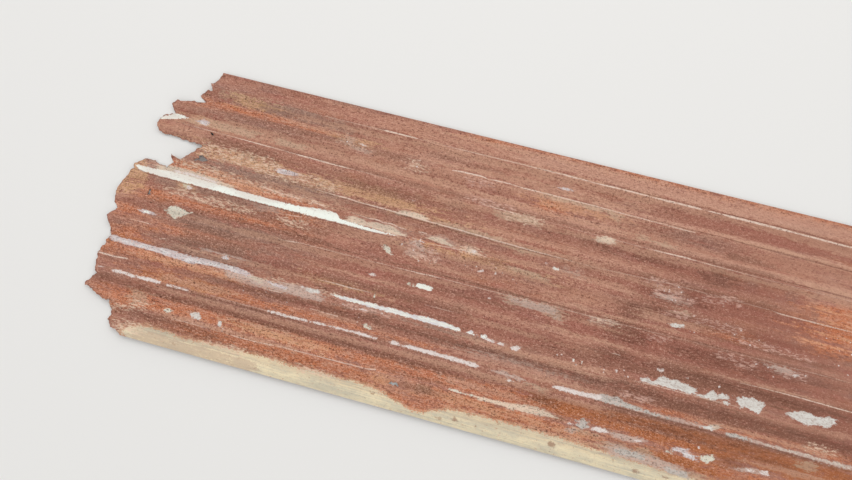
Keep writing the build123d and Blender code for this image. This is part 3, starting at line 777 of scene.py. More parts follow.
COATS = {
    "zinc": (
        ZINC, 0.5, 9, 13, 1.6, 0.95, "chip_edge", ZINC_CREAM, ("zinc", -0.8, 0.8, 1, ZINC_GREY),
        ("patch", 0.3, 1.1, 0.5, PEACH), ("flake", 0.3, 0.8, 0.6, FOX_RUST),
    ),
    "dark_spots": (DARK_SPOTS, 0.5, 4, 4, 2.6, 0.7, "chip_edge", ZINC_RUST),
    "cream_film": (CREAM_FILM, 0.3, 6, 11, 3.5, 0.6, "film_edge", FILM_CREAM),
    "pink_film": (PINK_FILM, 0.3, 5, 13, 4, 0.6, "film_edge", FILM_PINK),
    "chalk": (CHALK, 0.3, -1.5, 17, 2.6, 0.85, "crumbly_edge", CHALK_CREAM),
    "cream_chips": (
        CREAM_CHIPS, 0.35, 6, 6, 1, 0.93, "patchy_edge", CREAM, ("fleck", 0, 1.2, 1, CREAM_SHADE),
    ),
    "dusty_film": (
        DUSTY_FILM, 0.25, 5, 8, 2.6, 0.8, "film_edge", DUST_CREAM,
        ("smear", -0.4, 0.7, 1, DUST_PINK),
    ),
    "pink_flecks": (PINK_FLECKS, 0.3, -1.5, 13, 2, 0.75, "crumbly_edge", FLECK_PINK),
    "grey_limewash": (
        GREY_LIMEWASH, 0.4, 4, 5.5, 1.6, 0.92, "patchy_edge", PALE_LIME_GREY,
        ("fleck", -0.3, 0.8, 1, DIM_LIME_GREY),
    ),
    "soft_limewash": (
        SOFT_LIMEWASH, 0.3, 4.5, 6, 2.6, 0.9, "film_edge", SOFT_CREAM,
        ("tint", -0.4, 0.6, 1, SOFT_GREY),
    ),
    "milky_film": (
        MILKY_FILM, 0.3, 4.5, 5.5, 1.4, 0.94, "film_edge", MILK_WHITE,
        ("smear", -0.7, 0.5, 1, MILK_LILAC), ("fleck", 0.2, 1.2, 1, MILK_PINK),
    ),
    "flaked_limewash": (
        FLAKED_LIMEWASH, 0.6, 5, 7.5, 0.9, 0.96, "patchy_edge", LIME_PALE,
        ("large_fleck", -0.3, 0.8, 1, LIME_GREY),
    ),
    "thin_limewash": (
        THIN_LIMEWASH, 0.6, 3.5, 4.8, 1, 0.96, "chip_edge", LIME_LILAC,
        ("fleck", -0.1, 0.8, 1, LIME_PINK),
    ),
    "limewash": (
        LIMEWASH, 0.6, 5, 4.5, 0.8, 1, "chip_edge", LIME_WHITE,
        ("tint", -0.5, 0.5, 1, LIME_CREAM), ("fleck", 0.2, 1.1, 1, LIME_GREY),
    ),
    "ridge_limewash": (
        RIDGE_LIMEWASH, 0.6, 5, 4.5, 0.8, 1, "chip_edge", LIME_WHITE,
        ("smear", -0.6, 0.6, 1, RIDGE_LILAC), ("fleck", 0.2, 1.1, 1, LIME_GREY),
    ),
}
SPECKS = {"specks": (SPECKLED, 0.5, 8, 0, 3, 0.85, "chip_edge", LIME_LILAC)}

# Finishes that stand a little above the rust and hide its grain
THICK_COATS = ("limewash", "thin_limewash", "flaked_limewash", "ridge_limewash")

# Specks: cell size in millimetres, seed, smallest and largest radius as shares of a cell,
# the chance value from which the radius grows, and where their edge fades
SPECK_CELL, SPECK_SEED = 11, 9
SPECK_RADII = (-0.1, 0.25)
SPECK_CHANCE = 0.35
SPECK_EDGE = (-0.03, 0.06)

# Thin lines: half the softness of their edge in millimetres, how strong the painted shadow lines are,
# how the strength of worn lines grows with half their width, and where it fails in places
LINE_EDGE = 0.7
PAINTED_SHADOW_STRENGTH = 0.5
WORN_STRENGTH = (0.3, 1.9, 0.25, 1)
WORN_GAPS = (0.9, -0.4, 0.1, 1)

# Grain: how far it grows on bright rust and from what, where along X in millimetres it
# weakens and to what, its share on zinc and limewash, and the strength of its two colours
GRAIN_ON_BRIGHT_RUST = (0.35, 0.85)
GRAIN_ALONG = (250, 850, 1, 0.65)
GRAIN_ON_COATS = 0.35
PIT_STRENGTH, CRUMB_STRENGTH = 0.95, 0.75

# Fringe of the zinc, burnt rim of the tear, and zinc of the underside: the values between
# which each fades, and from how much to how much
ZINC_FRINGE = (-14, 5, 0, 0.8)
BURNT_RIM = (4, 0, 0, 0.3)
UNDERSIDE_SHINE = (-0.1, 0.5, 0, 0.8)

# Gloss, and bump heights in millimetres
SPECULAR_LEVEL = 0.25
RUST_ROUGHNESS = 0.86
METAL_ROUGHNESS_DROP = -0.28
GRAIN_ROUGHNESS = 0.05
METAL_SHARE = 0.12
LIME_HEIGHT, FILM_HEIGHT = 0.1, 0.03

# Floor and light
FLOOR_COLOR = (0.800, 0.790, 0.770)
FLOOR_ROUGHNESS = 0.9
FLOOR_HALF_SIZE = 60
SKY_COLOR = (1.0, 1.0, 1.0)
SKY_STRENGTH = 0.925
LAMP_PLACE = (-0.6, 3.0, 3.4)
LAMP_SIZE = (4.0, 3.0)
LAMP_POWER = 30

# Camera, fitted to the crest lines: place, heading from +Y, tilt below level and roll
CAMERA_PLACE = (-0.1437, -0.3189, 1.9741)
CAMERA_HEADING = math.radians(-21.96)
CAMERA_TILT = math.radians(78)
CAMERA_ROLL = math.radians(-7.11)
CAMERA_NEAR, CAMERA_FAR = 0.01, 100
FOCAL_PIXELS = 700
IMAGE_WIDTH = 852
SENSOR_WIDTH = 36


def section(offset):
    """The section's face that lies offset above mid-thickness: places across and heights.

    Along the developed width each half wave is an arc of one bend radius, through the
    flank angle on both sides of its apex, and then a straight flank to the next arc.
    Crests and troughs take turns, and both long edges stop part of the way round an arc.
    """
    lip = BEND_RADIUS * EDGE_BEND_ANGLE
    step = HALF_WAVE_RUN / ROWS_PER_HALF_WAVE
    first = math.ceil(-lip / step)
    last = HALF_WAVES * ROWS_PER_HALF_WAVE - first
    run = np.arange(first, last + 1) * step
    run[0], run[-1] = -lip, HALF_WAVES * HALF_WAVE_RUN + lip
    index = np.clip(np.round(run / HALF_WAVE_RUN), 0, HALF_WAVES)
    up = np.where(index % 2 == 0, 1.0, -1.0)
    along = run - index * HALF_WAVE_RUN
    arc = np.minimum(np.abs(along) / BEND_RADIUS, FLANK_ANGLE)
    flank = np.abs(along) - arc * BEND_RADIUS
    radius = BEND_RADIUS + up * offset
    across = FIRST_CREST + index * WAVE_PITCH / 2
    across = across + np.sign(along) * (radius * np.sin(arc) + flank * np.cos(arc))
    level = SHEET_THICKNESS / 2 + np.where(up > 0, WAVE_DEPTH, 0)
    height = level + up * (radius * np.cos(arc) - flank * np.sin(arc) - BEND_RADIUS)
    return across, height


def middle_height(across):
    """Height of mid-thickness over a place across: the same arcs and flanks, read in plan."""
    index = np.clip(np.round((across - FIRST_CREST) / (WAVE_PITCH / 2)), 0, HALF_WAVES)
    up = np.where(index % 2 == 0, 1.0, -1.0)
    away = np.abs(across - FIRST_CREST - index * WAVE_PITCH / 2)
    reach = BEND_RADIUS * math.sin(FLANK_ANGLE)
    arc_drop = BEND_RADIUS - np.sqrt(BEND_RADIUS**2 - np.minimum(away, reach) ** 2)
    flank_drop = np.maximum(away - reach, 0) * math.tan(FLANK_ANGLE)
    return SHEET_THICKNESS / 2 + np.where(up > 0, WAVE_DEPTH, 0) - up * (arc_drop + flank_drop)


def stations():
    """Places along the sheet: close together where it is torn, and wider on the rest."""
    torn = np.arange(TORN_STEPS) * TORN_STEP
    plain = np.linspace(TORN_STEPS * TORN_STEP, SHEET_LENGTH, PLAIN_STEPS + 1)
    return OLD_END + np.concatenate([torn, plain])


def grid_points(x, across, height):
    """A grid of points: the section's places and heights repeated at every station."""
    grid_x, grid_y = np.meshgrid(x, across, indexing="ij")
    grid_z = np.broadcast_to(height, grid_x.shape)
    return np.stack([grid_x, grid_y, grid_z], axis=-1).reshape(-1, 3)


def grid_faces(index):
    """Quads of a grid of vertex numbers, which face up where rows run along +X, columns along +Y."""
    corners = [index[:-1, :-1], index[1:, :-1], index[1:, 1:], index[:-1, 1:]]
    return np.stack(corners, axis=-1).reshape(-1, 4).tolist()


def rim_faces(fine, coarse, ratio):
    """Faces between two lines of vertices, one with ratio steps for each step of the other."""
    fine_side = [fine[ratio - k :: ratio][: len(coarse) - 1] for k in range(ratio)]
    return np.stack([coarse[:-1], coarse[1:], *fine_side, fine[:-1:ratio]], axis=-1).tolist()


def mesh_object(name, points, faces):
    """A mesh object at the origin, from points in metres and lists of vertex numbers."""
    mesh = bpy.data.meshes.new(name)
    mesh.from_pydata(np.asarray(points).tolist(), [], faces)
    thing = bpy.data.objects.new(name, mesh)
    bpy.context.collection.objects.link(thing)
    return thing


def turned(faces):
    """The faces with their other side out."""
    return [face[::-1] for face in faces]


def rolled_sheet():
    """The sheet as it was rolled: the section carried along X, a shell of two faces and four rims."""
    x = stations()
    across, height = section(SHEET_THICKNESS / 2)
    under_x = np.concatenate([x[:TORN_STEPS], x[TORN_STEPS::PLAIN_STEPS_PER_UNDERSIDE_STEP]])
    under_across, under_height = section(-SHEET_THICKNESS / 2)
    top = np.arange(len(x) * len(across)).reshape(len(x), -1)
    under = top.size + np.arange(len(under_x) * len(across)).reshape(len(under_x), -1)
    faces = grid_faces(top) + turned(grid_faces(under))
    for edge, outward in ((0, list), (-1, turned)):
        top_edge, under_edge = top[:, edge], under[:, edge]
        rim = rim_faces(top_edge[: TORN_STEPS + 1], under_edge[: TORN_STEPS + 1], 1)
        rim += rim_faces(top_edge[TORN_STEPS:], under_edge[TORN_STEPS:], PLAIN_STEPS_PER_UNDERSIDE_STEP)
        faces += outward(rim)
    faces += turned(rim_faces(top[0], under[0], 1)) + rim_faces(top[-1], under[-1], 1)
    points = [grid_points(x, across, height), grid_points(under_x, under_across, under_height)]
    return mesh_object("rusted_corrugated_sheet", np.concatenate(points), faces)


def ragged(outline, passes, bite, chance, closed=True):
    """A ragged line: in each pass every side gets a middle point, pushed sideways by chance.

    The push is at most bite times the side's length.
    """
    points = np.array(outline, float)
    for _ in range(passes):
        ahead = np.roll(points, -1, axis=0)
        side = ahead - points
        sideways = np.stack([-side[:, 1], side[:, 0]], axis=-1)
        middle = (points + ahead) / 2 + sideways * chance.uniform(-bite, bite, (len(points), 1))
        points = np.stack([points, middle], axis=1).reshape(-1, 2)
        if not closed:
            points = points[:-1]
    return points


def cut(sheet, outline):
    """Cuts an outline, in millimetres in and across, out of the sheet with an upright prism."""
    plan = np.array(outline) * MM + (OLD_END, 0)
    ahead = np.roll(plan, -1, axis=0)
    if np.sum(plan[:, 0] * ahead[:, 1] - ahead[:, 0] * plan[:, 1]) < 0:
        plan = plan[::-1]
    count = len(plan)
    low = np.column_stack([plan, np.full(count, -SHEET_HEIGHT)])
    high = np.column_stack([plan, np.full(count, 2 * SHEET_HEIGHT)])
    ring = np.arange(count)
    next_ring = np.roll(ring, -1)
    walls = np.stack([ring, next_ring, next_ring + count, ring + count], axis=-1).tolist()
    faces = [ring[::-1].tolist(), (ring + count).tolist()] + walls
    cutter = mesh_object("cutter", np.concatenate([low, high]), faces)
    modifier = sheet.modifiers.new("cut", "BOOLEAN")
    modifier.operation = "DIFFERENCE"
    modifier.solver = "EXACT"
    modifier.object = cutter
    depsgraph = bpy.context.evaluated_depsgraph_get()
    cut_mesh = bpy.data.meshes.new_from_object(sheet.evaluated_get(depsgraph))
    sheet.modifiers.clear()
    sheet.data = cut_mesh
    bpy.data.objects.remove(cutter)


def eaten_lines(sheet):
    """Cuts the torn end and the holes out of the sheet, and gives back their lines."""
    chance = np.random.default_rng(OUTLINE_SEED)
    far_in, near_in = TORN_EDGE[0][0], TORN_EDGE[-1][0]
    drawn = [(far_in, BEYOND_SHEET), *TORN_EDGE, (near_in, -BEYOND_SHEET)]
    torn_line = ragged(drawn, TEAR_PASSES, TEAR_BITE, chance, closed=False)
    corners = [(-BEYOND_SHEET, -BEYOND_SHEET), (-BEYOND_SHEET, BEYOND_SHEET)]
    cut(sheet, np.concatenate([torn_line, corners]))
    lines = [torn_line]
    for hole in RUST_HOLES:
        outline = ragged(hole, HOLE_PASSES, HOLE_BITE, chance)
        cut(sheet, outline)
        lines.append(np.concatenate([outline, outline[:1]]))
    return lines


def distance_to_line(inward, across, line):
    """Shortest distance from each place to a line of points, all in millimetres."""
    start, side = line[:-1], np.diff(line, axis=0)
    place = np.stack([inward, across], axis=-1)[:, None]
    share = np.sum((place - start) * side, axis=-1) / np.sum(side**2, axis=-1)
    nearest = start + np.clip(share, 0, 1)[..., None] * side
    return np.min(np.linalg.norm(place - nearest, axis=-1), axis=1)


def distance_to_edges(inward, across, lines):
    """Distance from each place to the nearest eaten line, or the coat limit if that is less."""
    distance = np.full(len(inward), COAT_LIMIT)
    for line in lines:
        low, high = line.min(axis=0) - COAT_LIMIT, line.max(axis=0) + COAT_LIMIT
        near = (inward > low[0]) & (inward < high[0]) & (across > low[1]) & (across < high[1])
        to_line = distance_to_line(inward[near], across[near], line)
        distance[near] = np.minimum(distance[near], to_line)
    return distance


def smooth_step(value):
    """0 below 0, 1 above 1, and a smooth S between."""
    value = np.clip(value, 0, 1)
    return value * value * (3 - 2 * value)


def wander(place, seed, step):
    """A smooth wandering line between 0 and 1, from chance values one step apart."""
    chance_values = np.random.default_rng(seed).uniform(-1, 1, WANDER_VALUES)
    position = np.asarray(place) / step + WANDER_START
    whole = np.floor(position).astype(int)
    share = smooth_step(position - whole)
    return 0.5 + 0.5 * (chance_values[whole] * (1 - share) + chance_values[whole + 1] * share)


def bend(points, inward, across, edge_distance):
    """Moves the sheet up and down, thickness kept, and never out of its own height.

    Towards the torn edge the waves flatten by a share that wanders across the sheet.
    Crests and troughs wander a little along their length, and each bent place is a
    smooth hump or dent.
    """
    middle = middle_height(points[:, 1])
    through = points[:, 2] - middle
    near_tear = np.exp(-edge_distance / TEAR_REACH)
    torn = TEAR_FLATTENING * near_tear * wander(across, **TEAR_WANDER)
    wave = np.floor((points[:, 1] - FIRST_CREST) / WAVE_PITCH + 0.5)
    worn = CREST_FLATTENING * wander(inward + WAVE_SHIFT * wave, **CREST_WANDER)
    centre = SHEET_HEIGHT / 2
    moved = centre + (middle - centre) * (1 - torn) * (1 - worn)
    for place_in, place_across, half_length, half_width, lift in BENT_PLACES:
        away = ((inward - place_in) / half_length) ** 2 + ((across - place_across) / half_width) ** 2
        moved += lift * MM * np.exp(-away)
    moved = np.clip(moved, SHEET_THICKNESS / 2, SHEET_HEIGHT - SHEET_THICKNESS / 2)
    points[:, 2] = np.clip(moved + through, 0, SHEET_HEIGHT)


def depth_inside(mark, end_share, inward, across):
    """How many millimetres a place lies inside a mark, negative outside it.

    The low and high sides of a mark with stations are straight between them. The depth
    is the smallest of the distances to both sides, and of a share of those to both ends.
    In an ellipse it falls evenly from half the width in the middle to 0 at the edge.
    """
    if isinstance(mark, tuple):
        middle_in, middle_across, half_length, half_width = mark
        away = np.hypot((inward - middle_in) / half_length, (across - middle_across) / half_width)
        return half_width * (1 - away)
    station_in, low, high = np.array(mark, float).T
    low_side = across - np.interp(inward, station_in, low)
    high_side = np.interp(inward, station_in, high) - across
    ends = np.minimum(inward - station_in[0], station_in[-1] - inward)
    return np.minimum(np.minimum(low_side, high_side), end_share * ends)


def coat_depth(marks, end_share, inward, across):
    """How far inside the nearest mark of one finish each place lies."""
    depth = np.full(len(inward), -COAT_LIMIT)
    for mark in marks:
        depth = np.maximum(depth, depth_inside(mark, end_share, inward, across))
    return np.minimum(depth, COAT_LIMIT)


def nearest_stroke(strokes, inward, across):
    """The nearest thin stroke's place across and half its width, as two arrays.

    Where no stroke is within reach, the place is the vertex's own and the width is
    negative, so that nothing is drawn between one stroke and the next.
    """
    centre = across.copy()
    half_width = np.full(len(inward), -STROKE_REACH)
    for stroke in strokes:
        station_in, middle, width = np.array(stroke, float).T
        stroke_centre = np.interp(inward, station_in, middle)
        in_reach = np.abs(across - stroke_centre) < STROKE_REACH
        in_reach &= (inward >= station_in[0]) & (inward <= station_in[-1])
        centre = np.where(in_reach, stroke_centre, centre)
        half_width = np.where(in_reach, np.interp(inward, station_in, width) / 2, half_width)
    return centre, half_width


def store(mesh, name, values):
    """Keeps one number for each vertex."""
    attribute = mesh.attributes.new(name, "FLOAT", "POINT")
    attribute.data.foreach_set("value", values.astype(np.float32))


def mark_sheet(mesh, inward, across, upper, edge_distance):
    """Stores where every finish lies on the upper face, the painted light and shade among them, and how
    near the torn edge is.
    """
    for name, (marks, end_share, *_) in {**STAINS_AND_PAINTED_SHADING, **COATS, **SPECKS}.items():
        depth = coat_depth(marks, end_share, inward, across)
        store(mesh, name, np.where(upper, depth, -COAT_LIMIT))
    for name, strokes in (("worn_line", WORN_LINES), ("painted_shadow_line", PAINTED_SHADOW_LINES)):
        centre, half_width = nearest_stroke(strokes, inward, across)
        store(mesh, name + "_across", centre)
        store(mesh, name + "_half_width", np.where(upper, half_width, -STROKE_REACH))
    store(mesh, "edge_distance", edge_distance)
    store(mesh, "upper_face", upper.astype(float))


def plug(tree, socket, value):
    """Joins a node's output to a socket, or sets the socket to a plain value."""
    if isinstance(value, bpy.types.NodeSocket):
        tree.links.new(value, socket)
    else:
        socket.default_value = value


def calculate(tree, operation, *values):
    """A Math node, and its result."""
    node = tree.nodes.new("ShaderNodeMath")
    node.operation = operation
    for socket, value in zip(node.inputs, values):
        plug(tree, socket, value)
    return node.outputs[0]


def product(tree, first, *others):
    """The product of values."""
    for other in others:
        first = calculate(tree, "MULTIPLY", first, other)
    return first


def largest(tree, first, *others):
    """The largest of values."""
    for other in others:
        first = calculate(tree, "MAXIMUM", first, other)
    return first


def weighted_sum(tree, values, shares, total=0.0):
    """A total plus values, looked up by name, each multiplied by its share."""
    for name, share in shares.items():
        total = calculate(tree, "MULTIPLY_ADD", values[name], share, total)
    return total


def fade(tree, value, start, end, low=0.0, high=1.0):
    """A smooth rise from low to high while the value goes from start to end."""
    node = tree.nodes.new("ShaderNodeMapRange")
    node.interpolation_type = "SMOOTHSTEP"
    names = ("Value", "From Min", "From Max", "To Min", "To Max")
    for name, number in zip(names, (value, start, end, low, high)):
        plug(tree, node.inputs[name], number)
    return node.outputs["Result"]


def paint(tree, share, under, over):
    """Colour over laid on colour under, as far as share says."""
    node = tree.nodes.new("ShaderNodeMix")
    node.data_type = "RGBA"
    for index, value in zip(MIX_INPUTS, (share, under, over)):
        if isinstance(value, tuple):
            value = (*value, 1)
        plug(tree, node.inputs[index], value)
    return node.outputs[MIX_OUTPUT]


def stretched(tree, place, size, seed):
    """Coordinates in which a feature of the given size in millimetres is one unit."""
    node = tree.nodes.new("ShaderNodeVectorMath")
    node.operation = "MULTIPLY_ADD"
    tree.links.new(place, node.inputs[0])
    node.inputs[1].default_value = tuple(1 / length for length in size)
    node.inputs[2].default_value = tuple(seed * shift for shift in NOISE_SHIFT)
    return node.outputs[0]


def swing(tree, place, length, width, seed, detail, roughness):
    """Noise with features of the given length and width, stretched to swing about -1 to 1."""
    node = tree.nodes.new("ShaderNodeTexNoise")
    tree.links.new(stretched(tree, place, (length, width, width), seed), node.inputs["Vector"])
    node.inputs["Scale"].default_value = 1
    node.inputs["Detail"].default_value = detail
    node.inputs["Roughness"].default_value = roughness
    return calculate(tree, "MULTIPLY_ADD", node.outputs["Fac"], NOISE_GAIN, -NOISE_GAIN / 2)


def patterns_over(tree, place):
    """Every noise and mixture of the material, by name."""
    patterns = {name: swing(tree, place, *values) for name, values in NOISES.items()}
    for name, shares in MIXTURES.items():
        patterns[name] = weighted_sum(tree, patterns, shares)
    return patterns


def stored(tree, name):
    """A number kept in the mesh."""
    node = tree.nodes.new("ShaderNodeAttribute")
    node.attribute_name = name
    return node.outputs["Fac"]


def ragged_coat_group():
    """Node group: how thickly a coat lies where it is a depth inside its mark, with a ragged edge.

    The depth is taken as core at most, so that the coat is worn through in places far
    from its edge too. The coat is a smooth rise of depth plus swing times raggedness,
    from minus softness to softness, times strength.
    """
    group = bpy.data.node_groups.new("ragged_coat", "ShaderNodeTree")
    for name in ("Depth", "Core", "Raggedness", "Softness", "Strength", "Swing"):
        group.interface.new_socket(name, in_out="INPUT", socket_type="NodeSocketFloat")
    group.interface.new_socket("Coat", in_out="OUTPUT", socket_type="NodeSocketFloat")
    source = group.nodes.new("NodeGroupInput").outputs
    result = group.nodes.new("NodeGroupOutput").inputs
    depth = calculate(group, "MINIMUM", source["Depth"], source["Core"])
    edge = calculate(group, "MULTIPLY_ADD", source["Swing"], source["Raggedness"], depth)
    outer_edge = calculate(group, "MULTIPLY", source["Softness"], -1.0)
    coat = fade(group, edge, outer_edge, source["Softness"])
    plug(group, result["Coat"], calculate(group, "MULTIPLY", coat, source["Strength"]))
    return group


def blended(tree, patterns, color, blends):
    """A colour with others blended in, each where its pattern goes from start to end."""
    for pattern, start, end, most, other in blends:
        color = paint(tree, fade(tree, patterns[pattern], start, end, 0, most), color, other)
    return color


def lay(tree, group, patterns, finishes, color, *masks):
    """Lays finishes one on another on a colour. Gives the colour and how thickly each lies."""
    coats = {}
    for name, finish in finishes.items():
        _, _, core, raggedness, softness, strength, edge, own_color, *blends = finish
        node = tree.nodes.new("ShaderNodeGroup")
        node.node_tree = group
        values = (stored(tree, name), core, raggedness, softness, strength, patterns[edge])
        for socket, value in zip(node.inputs, values):
            plug(tree, socket, value)
        coats[name] = product(tree, node.outputs["Coat"], *masks)
        color = paint(tree, coats[name], color, blended(tree, patterns, own_color, blends))
    return color, coats


def rust_ramp(tree, pattern):
    """The rust's own colour: its tones from dark to light, as the pattern swings from -1 to 1."""
    ramp = tree.nodes.new("ShaderNodeValToRGB")
    plug(tree, ramp.inputs[0], calculate(tree, "MULTIPLY_ADD", pattern, 0.5, 0.5))
    tones = ramp.color_ramp.elements
    tones[0].position, tones[1].position = 0.0, 1.0
    tones[0].color, tones[1].color = (*RUST_TONES[0], 1), (*RUST_TONES[-1], 1)
    for index in range(1, len(RUST_TONES) - 1):
        tones.new(index / (len(RUST_TONES) - 1)).color = (*RUST_TONES[index], 1)
    return ramp.outputs["Color"]


def speck_mask(tree, place):
    """Round specks, one in a cell at most, each as large as its cell's chance value says."""
    cells = tree.nodes.new("ShaderNodeTexVoronoi")
    cell = stretched(tree, place, (SPECK_CELL, SPECK_CELL, SPECK_CELL), SPECK_SEED)
    tree.links.new(cell, cells.inputs["Vector"])
    cells.inputs["Scale"].default_value = 1
    chance = tree.nodes.new("ShaderNodeSeparateColor")
    tree.links.new(cells.outputs["Color"], chance.inputs[0])
    radius = fade(tree, chance.outputs["Red"], SPECK_CHANCE, 1, *SPECK_RADII)
    inside = calculate(tree, "SUBTRACT", radius, cells.outputs["Distance"])
    return fade(tree, inside, *SPECK_EDGE)


def thin_line(tree, place_across, name, wobble):
    """A thin line drawn where the place across is within half a width of the stored one."""
    away = calculate(tree, "SUBTRACT", place_across, stored(tree, name + "_across"))
    away = calculate(tree, "ABSOLUTE", calculate(tree, "ADD", away, wobble))
    inside = calculate(tree, "SUBTRACT", stored(tree, name + "_half_width"), away)
    return fade(tree, inside, -LINE_EDGE, LINE_EDGE)


def rusted_sheet_material():
    """Matt rust in many tones on old zinc, under stained patches, dust and the remains of limewash, with
    painted light and painted shade across the waves and painted shadow lines.
    """
    material = bpy.data.materials.new("rusted_sheet")
    material.use_nodes = True
    tree = material.node_tree
    shader = tree.nodes["Principled BSDF"]
    shader.inputs["Specular IOR Level"].default_value = SPECULAR_LEVEL
    in_millimetres = tree.nodes.new("ShaderNodeVectorMath")
    in_millimetres.operation = "SCALE"
    in_millimetres.inputs["Scale"].default_value = 1 / MM
    texture_place = tree.nodes.new("ShaderNodeTexCoord").outputs["Object"]
    tree.links.new(texture_place, in_millimetres.inputs[0])
    place = in_millimetres.outputs[0]
    separate = tree.nodes.new("ShaderNodeSeparateXYZ")
    tree.links.new(place, separate.inputs[0])
    patterns = patterns_over(tree, place)
    group = ragged_coat_group()

    # Rust and the soft stain marks in it, some of them partly painted light and painted shade across the
    # waves
    color = blended(tree, patterns, rust_ramp(tree, patterns["rust"]), RUST_BLENDS)
    color, stains_and_painted_shading = lay(tree, group, patterns, STAINS_AND_PAINTED_SHADING, color)

    # Rust that fades into the zinc, then bare zinc and all that lies on the rust
    fringe = calculate(tree, "ADD", stored(tree, "zinc"), patterns["zinc_edge"])
    color = paint(tree, fade(tree, fringe, *ZINC_FRINGE), color, PEACH)
    color, coats = lay(tree, group, patterns, COATS, color)
    color, _ = lay(tree, group, patterns, SPECKS, color, speck_mask(tree, place))

    # Painted shadow lines, and worn crest lines
    lines = {}
    for name in ("painted_shadow_line", "worn_line"):
        lines[name] = thin_line(tree, separate.outputs["Y"], name, patterns["wobble"])
    # The painted shadow lines darken the colour where shade would fall
    color = paint(tree, product(tree, lines["painted_shadow_line"], PAINTED_SHADOW_STRENGTH), color, UMBER)
    wear = fade(tree, stored(tree, "worn_line_half_width"), *WORN_STRENGTH)
    gaps = fade(tree, patterns["film_edge"], *WORN_GAPS)
    color = paint(tree, product(tree, lines["worn_line"], wear, gaps), color, WORN_CREAM)

    # Grain over all of it: dark pits and pale crumbs, coarser in the bright rust
    thick = largest(tree, *(coats[name] for name in THICK_COATS))
    bare = calculate(tree, "SUBTRACT", 1.0, largest(tree, thick, coats["zinc"]))
    bright_rust = largest(tree, stains_and_painted_shading["ochre_stain"], stains_and_painted_shading["orange_rust"])
    coarse = calculate(tree, "MULTIPLY_ADD", bright_rust, *GRAIN_ON_BRIGHT_RUST)
    near_tear = fade(tree, separate.outputs["X"], *GRAIN_ALONG)
    uncoated = fade(tree, bare, 0, 1, GRAIN_ON_COATS, 1)
    grit = product(tree, patterns["grit"], coarse, near_tear, uncoated)
    color = paint(tree, fade(tree, grit, 0, 1, 0, PIT_STRENGTH), color, PIT_RUST)
    color = paint(tree, fade(tree, grit, 0, -1, 0, CRUMB_STRENGTH), color, CRUMB_RUST)

    # Rim of the tear, and the underside with more of its zinc
    rim = calculate(tree, "ADD", stored(tree, "edge_distance"), patterns["burnt_edge"])
    color = paint(tree, fade(tree, rim, *BURNT_RIM), color, UMBER)
    under = calculate(tree, "SUBTRACT", 1.0, stored(tree, "upper_face"))
    under_zinc = product(tree, under, fade(tree, patterns["underside"], *UNDERSIDE_SHINE))
    color = paint(tree, under_zinc, color, UNDERSIDE_ZINC)
    plug(tree, shader.inputs["Base Color"], color)

    metal = largest(tree, coats["zinc"], under_zinc)
    roughness = calculate(tree, "MULTIPLY_ADD", metal, METAL_ROUGHNESS_DROP, RUST_ROUGHNESS)
    roughness = calculate(tree, "MULTIPLY_ADD", patterns["grain"], GRAIN_ROUGHNESS, roughness)
    plug(tree, shader.inputs["Roughness"], roughness)
    plug(tree, shader.inputs["Metallic"], product(tree, metal, METAL_SHARE))

    height = product(tree, patterns["scale"], bare)
    height = calculate(tree, "MULTIPLY_ADD", thick, LIME_HEIGHT, height)
    height = calculate(tree, "MULTIPLY_ADD", coats["milky_film"], FILM_HEIGHT, height)
    bump = tree.nodes.new("ShaderNodeBump")
    bump.inputs["Distance"].default_value = MM
    plug(tree, bump.inputs["Height"], height)
    plug(tree, shader.inputs["Normal"], bump.outputs["Normal"])
    return material


def corrugated_sheet():
    """The sheet as it is now: rolled, torn, holed, marked by its finishes, and bent."""
    sheet = rolled_sheet()
    lines = eaten_lines(sheet)
    mesh = sheet.data
    points = np.empty(len(mesh.vertices) * 3)
    mesh.vertices.foreach_get("co", points)
    points = points.reshape(-1, 3)
    inward, across = (points[:, 0] - OLD_END) / MM, points[:, 1] / MM
    edge_distance = distance_to_edges(inward, across, lines)
    upper = points[:, 2] > middle_height(points[:, 1])
    mark_sheet(mesh, inward, across, upper, edge_distance)
    bend(points, inward, across, edge_distance)
    mesh.vertices.foreach_set("co", points.ravel())
    mesh.materials.clear()
    mesh.materials.append(rusted_sheet_material())
    mesh.shade_smooth()
    mesh.set_sharp_from_angle(angle=SHARP_ANGLE)
    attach(sheet, "root")
    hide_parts(SHEET_NODE)


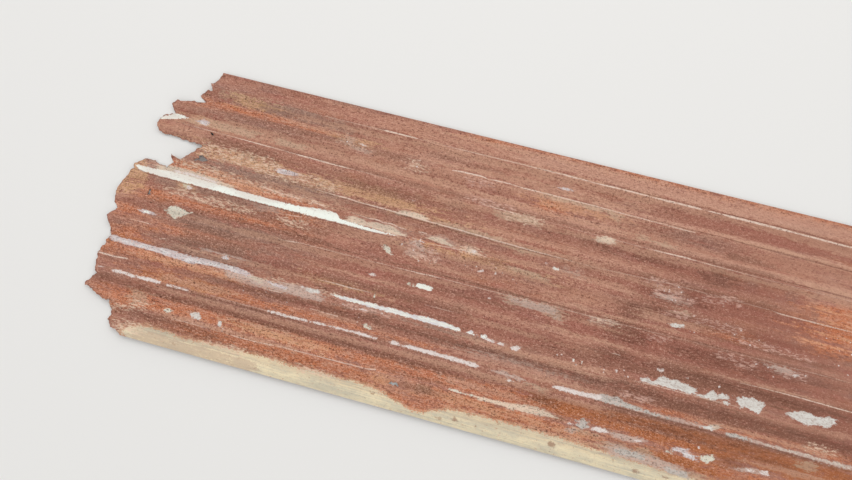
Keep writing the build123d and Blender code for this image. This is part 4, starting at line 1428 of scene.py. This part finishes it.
def camera():
    """The photograph's viewpoint, as a pinhole with the fitted heading, tilt and roll."""
    h, t, r = CAMERA_HEADING, CAMERA_TILT, CAMERA_ROLL
    ahead = Vector((math.sin(h) * math.cos(t), math.cos(h) * math.cos(t), -math.sin(t)))
    level = Vector((math.cos(h), -math.sin(h), 0))
    upright = level.cross(ahead)
    right = math.cos(r) * level + math.sin(r) * upright
    up = -math.sin(r) * level + math.cos(r) * upright
    turn = Matrix((right, up, -ahead)).transposed().to_4x4()
    lens = bpy.data.cameras.new("camera")
    lens.sensor_width = SENSOR_WIDTH
    lens.lens = SENSOR_WIDTH * FOCAL_PIXELS / IMAGE_WIDTH
    lens.clip_start, lens.clip_end = CAMERA_NEAR, CAMERA_FAR
    view = bpy.data.objects.new("camera", lens)
    view.matrix_world = Matrix.Translation(CAMERA_PLACE) @ turn
    bpy.context.collection.objects.link(view)
    bpy.context.scene.camera = view


def floor():
    """A plain pale floor under the sheet."""
    half = FLOOR_HALF_SIZE
    corners = [(-half, -half, 0), (half, -half, 0), (half, half, 0), (-half, half, 0)]
    plane = mesh_object("floor", corners, [(0, 1, 2, 3)])
    material = bpy.data.materials.new("pale_floor")
    material.use_nodes = True
    shader = material.node_tree.nodes["Principled BSDF"]
    shader.inputs["Base Color"].default_value = (*FLOOR_COLOR, 1)
    shader.inputs["Roughness"].default_value = FLOOR_ROUGHNESS
    plane.data.materials.append(material)


def light():
    """A pale sky all round, and one large soft lamp beyond the sheet's far edge."""
    world = bpy.data.worlds.new("sky")
    world.use_nodes = True
    sky = world.node_tree.nodes["Background"]
    sky.inputs["Color"].default_value = (*SKY_COLOR, 1)
    sky.inputs["Strength"].default_value = SKY_STRENGTH
    bpy.context.scene.world = world
    lamp = bpy.data.lights.new("soft_lamp", "AREA")
    lamp.shape = "RECTANGLE"
    lamp.size, lamp.size_y = LAMP_SIZE
    lamp.energy = LAMP_POWER
    holder = bpy.data.objects.new("soft_lamp", lamp)
    place = Vector(LAMP_PLACE)
    holder.location = place
    holder.rotation_euler = (-place).to_track_quat("-Z", "Y").to_euler()
    bpy.context.collection.objects.link(holder)


corrugated_sheet()
camera()
floor()
light()
bpy.context.scene.view_settings.view_transform = "Standard"
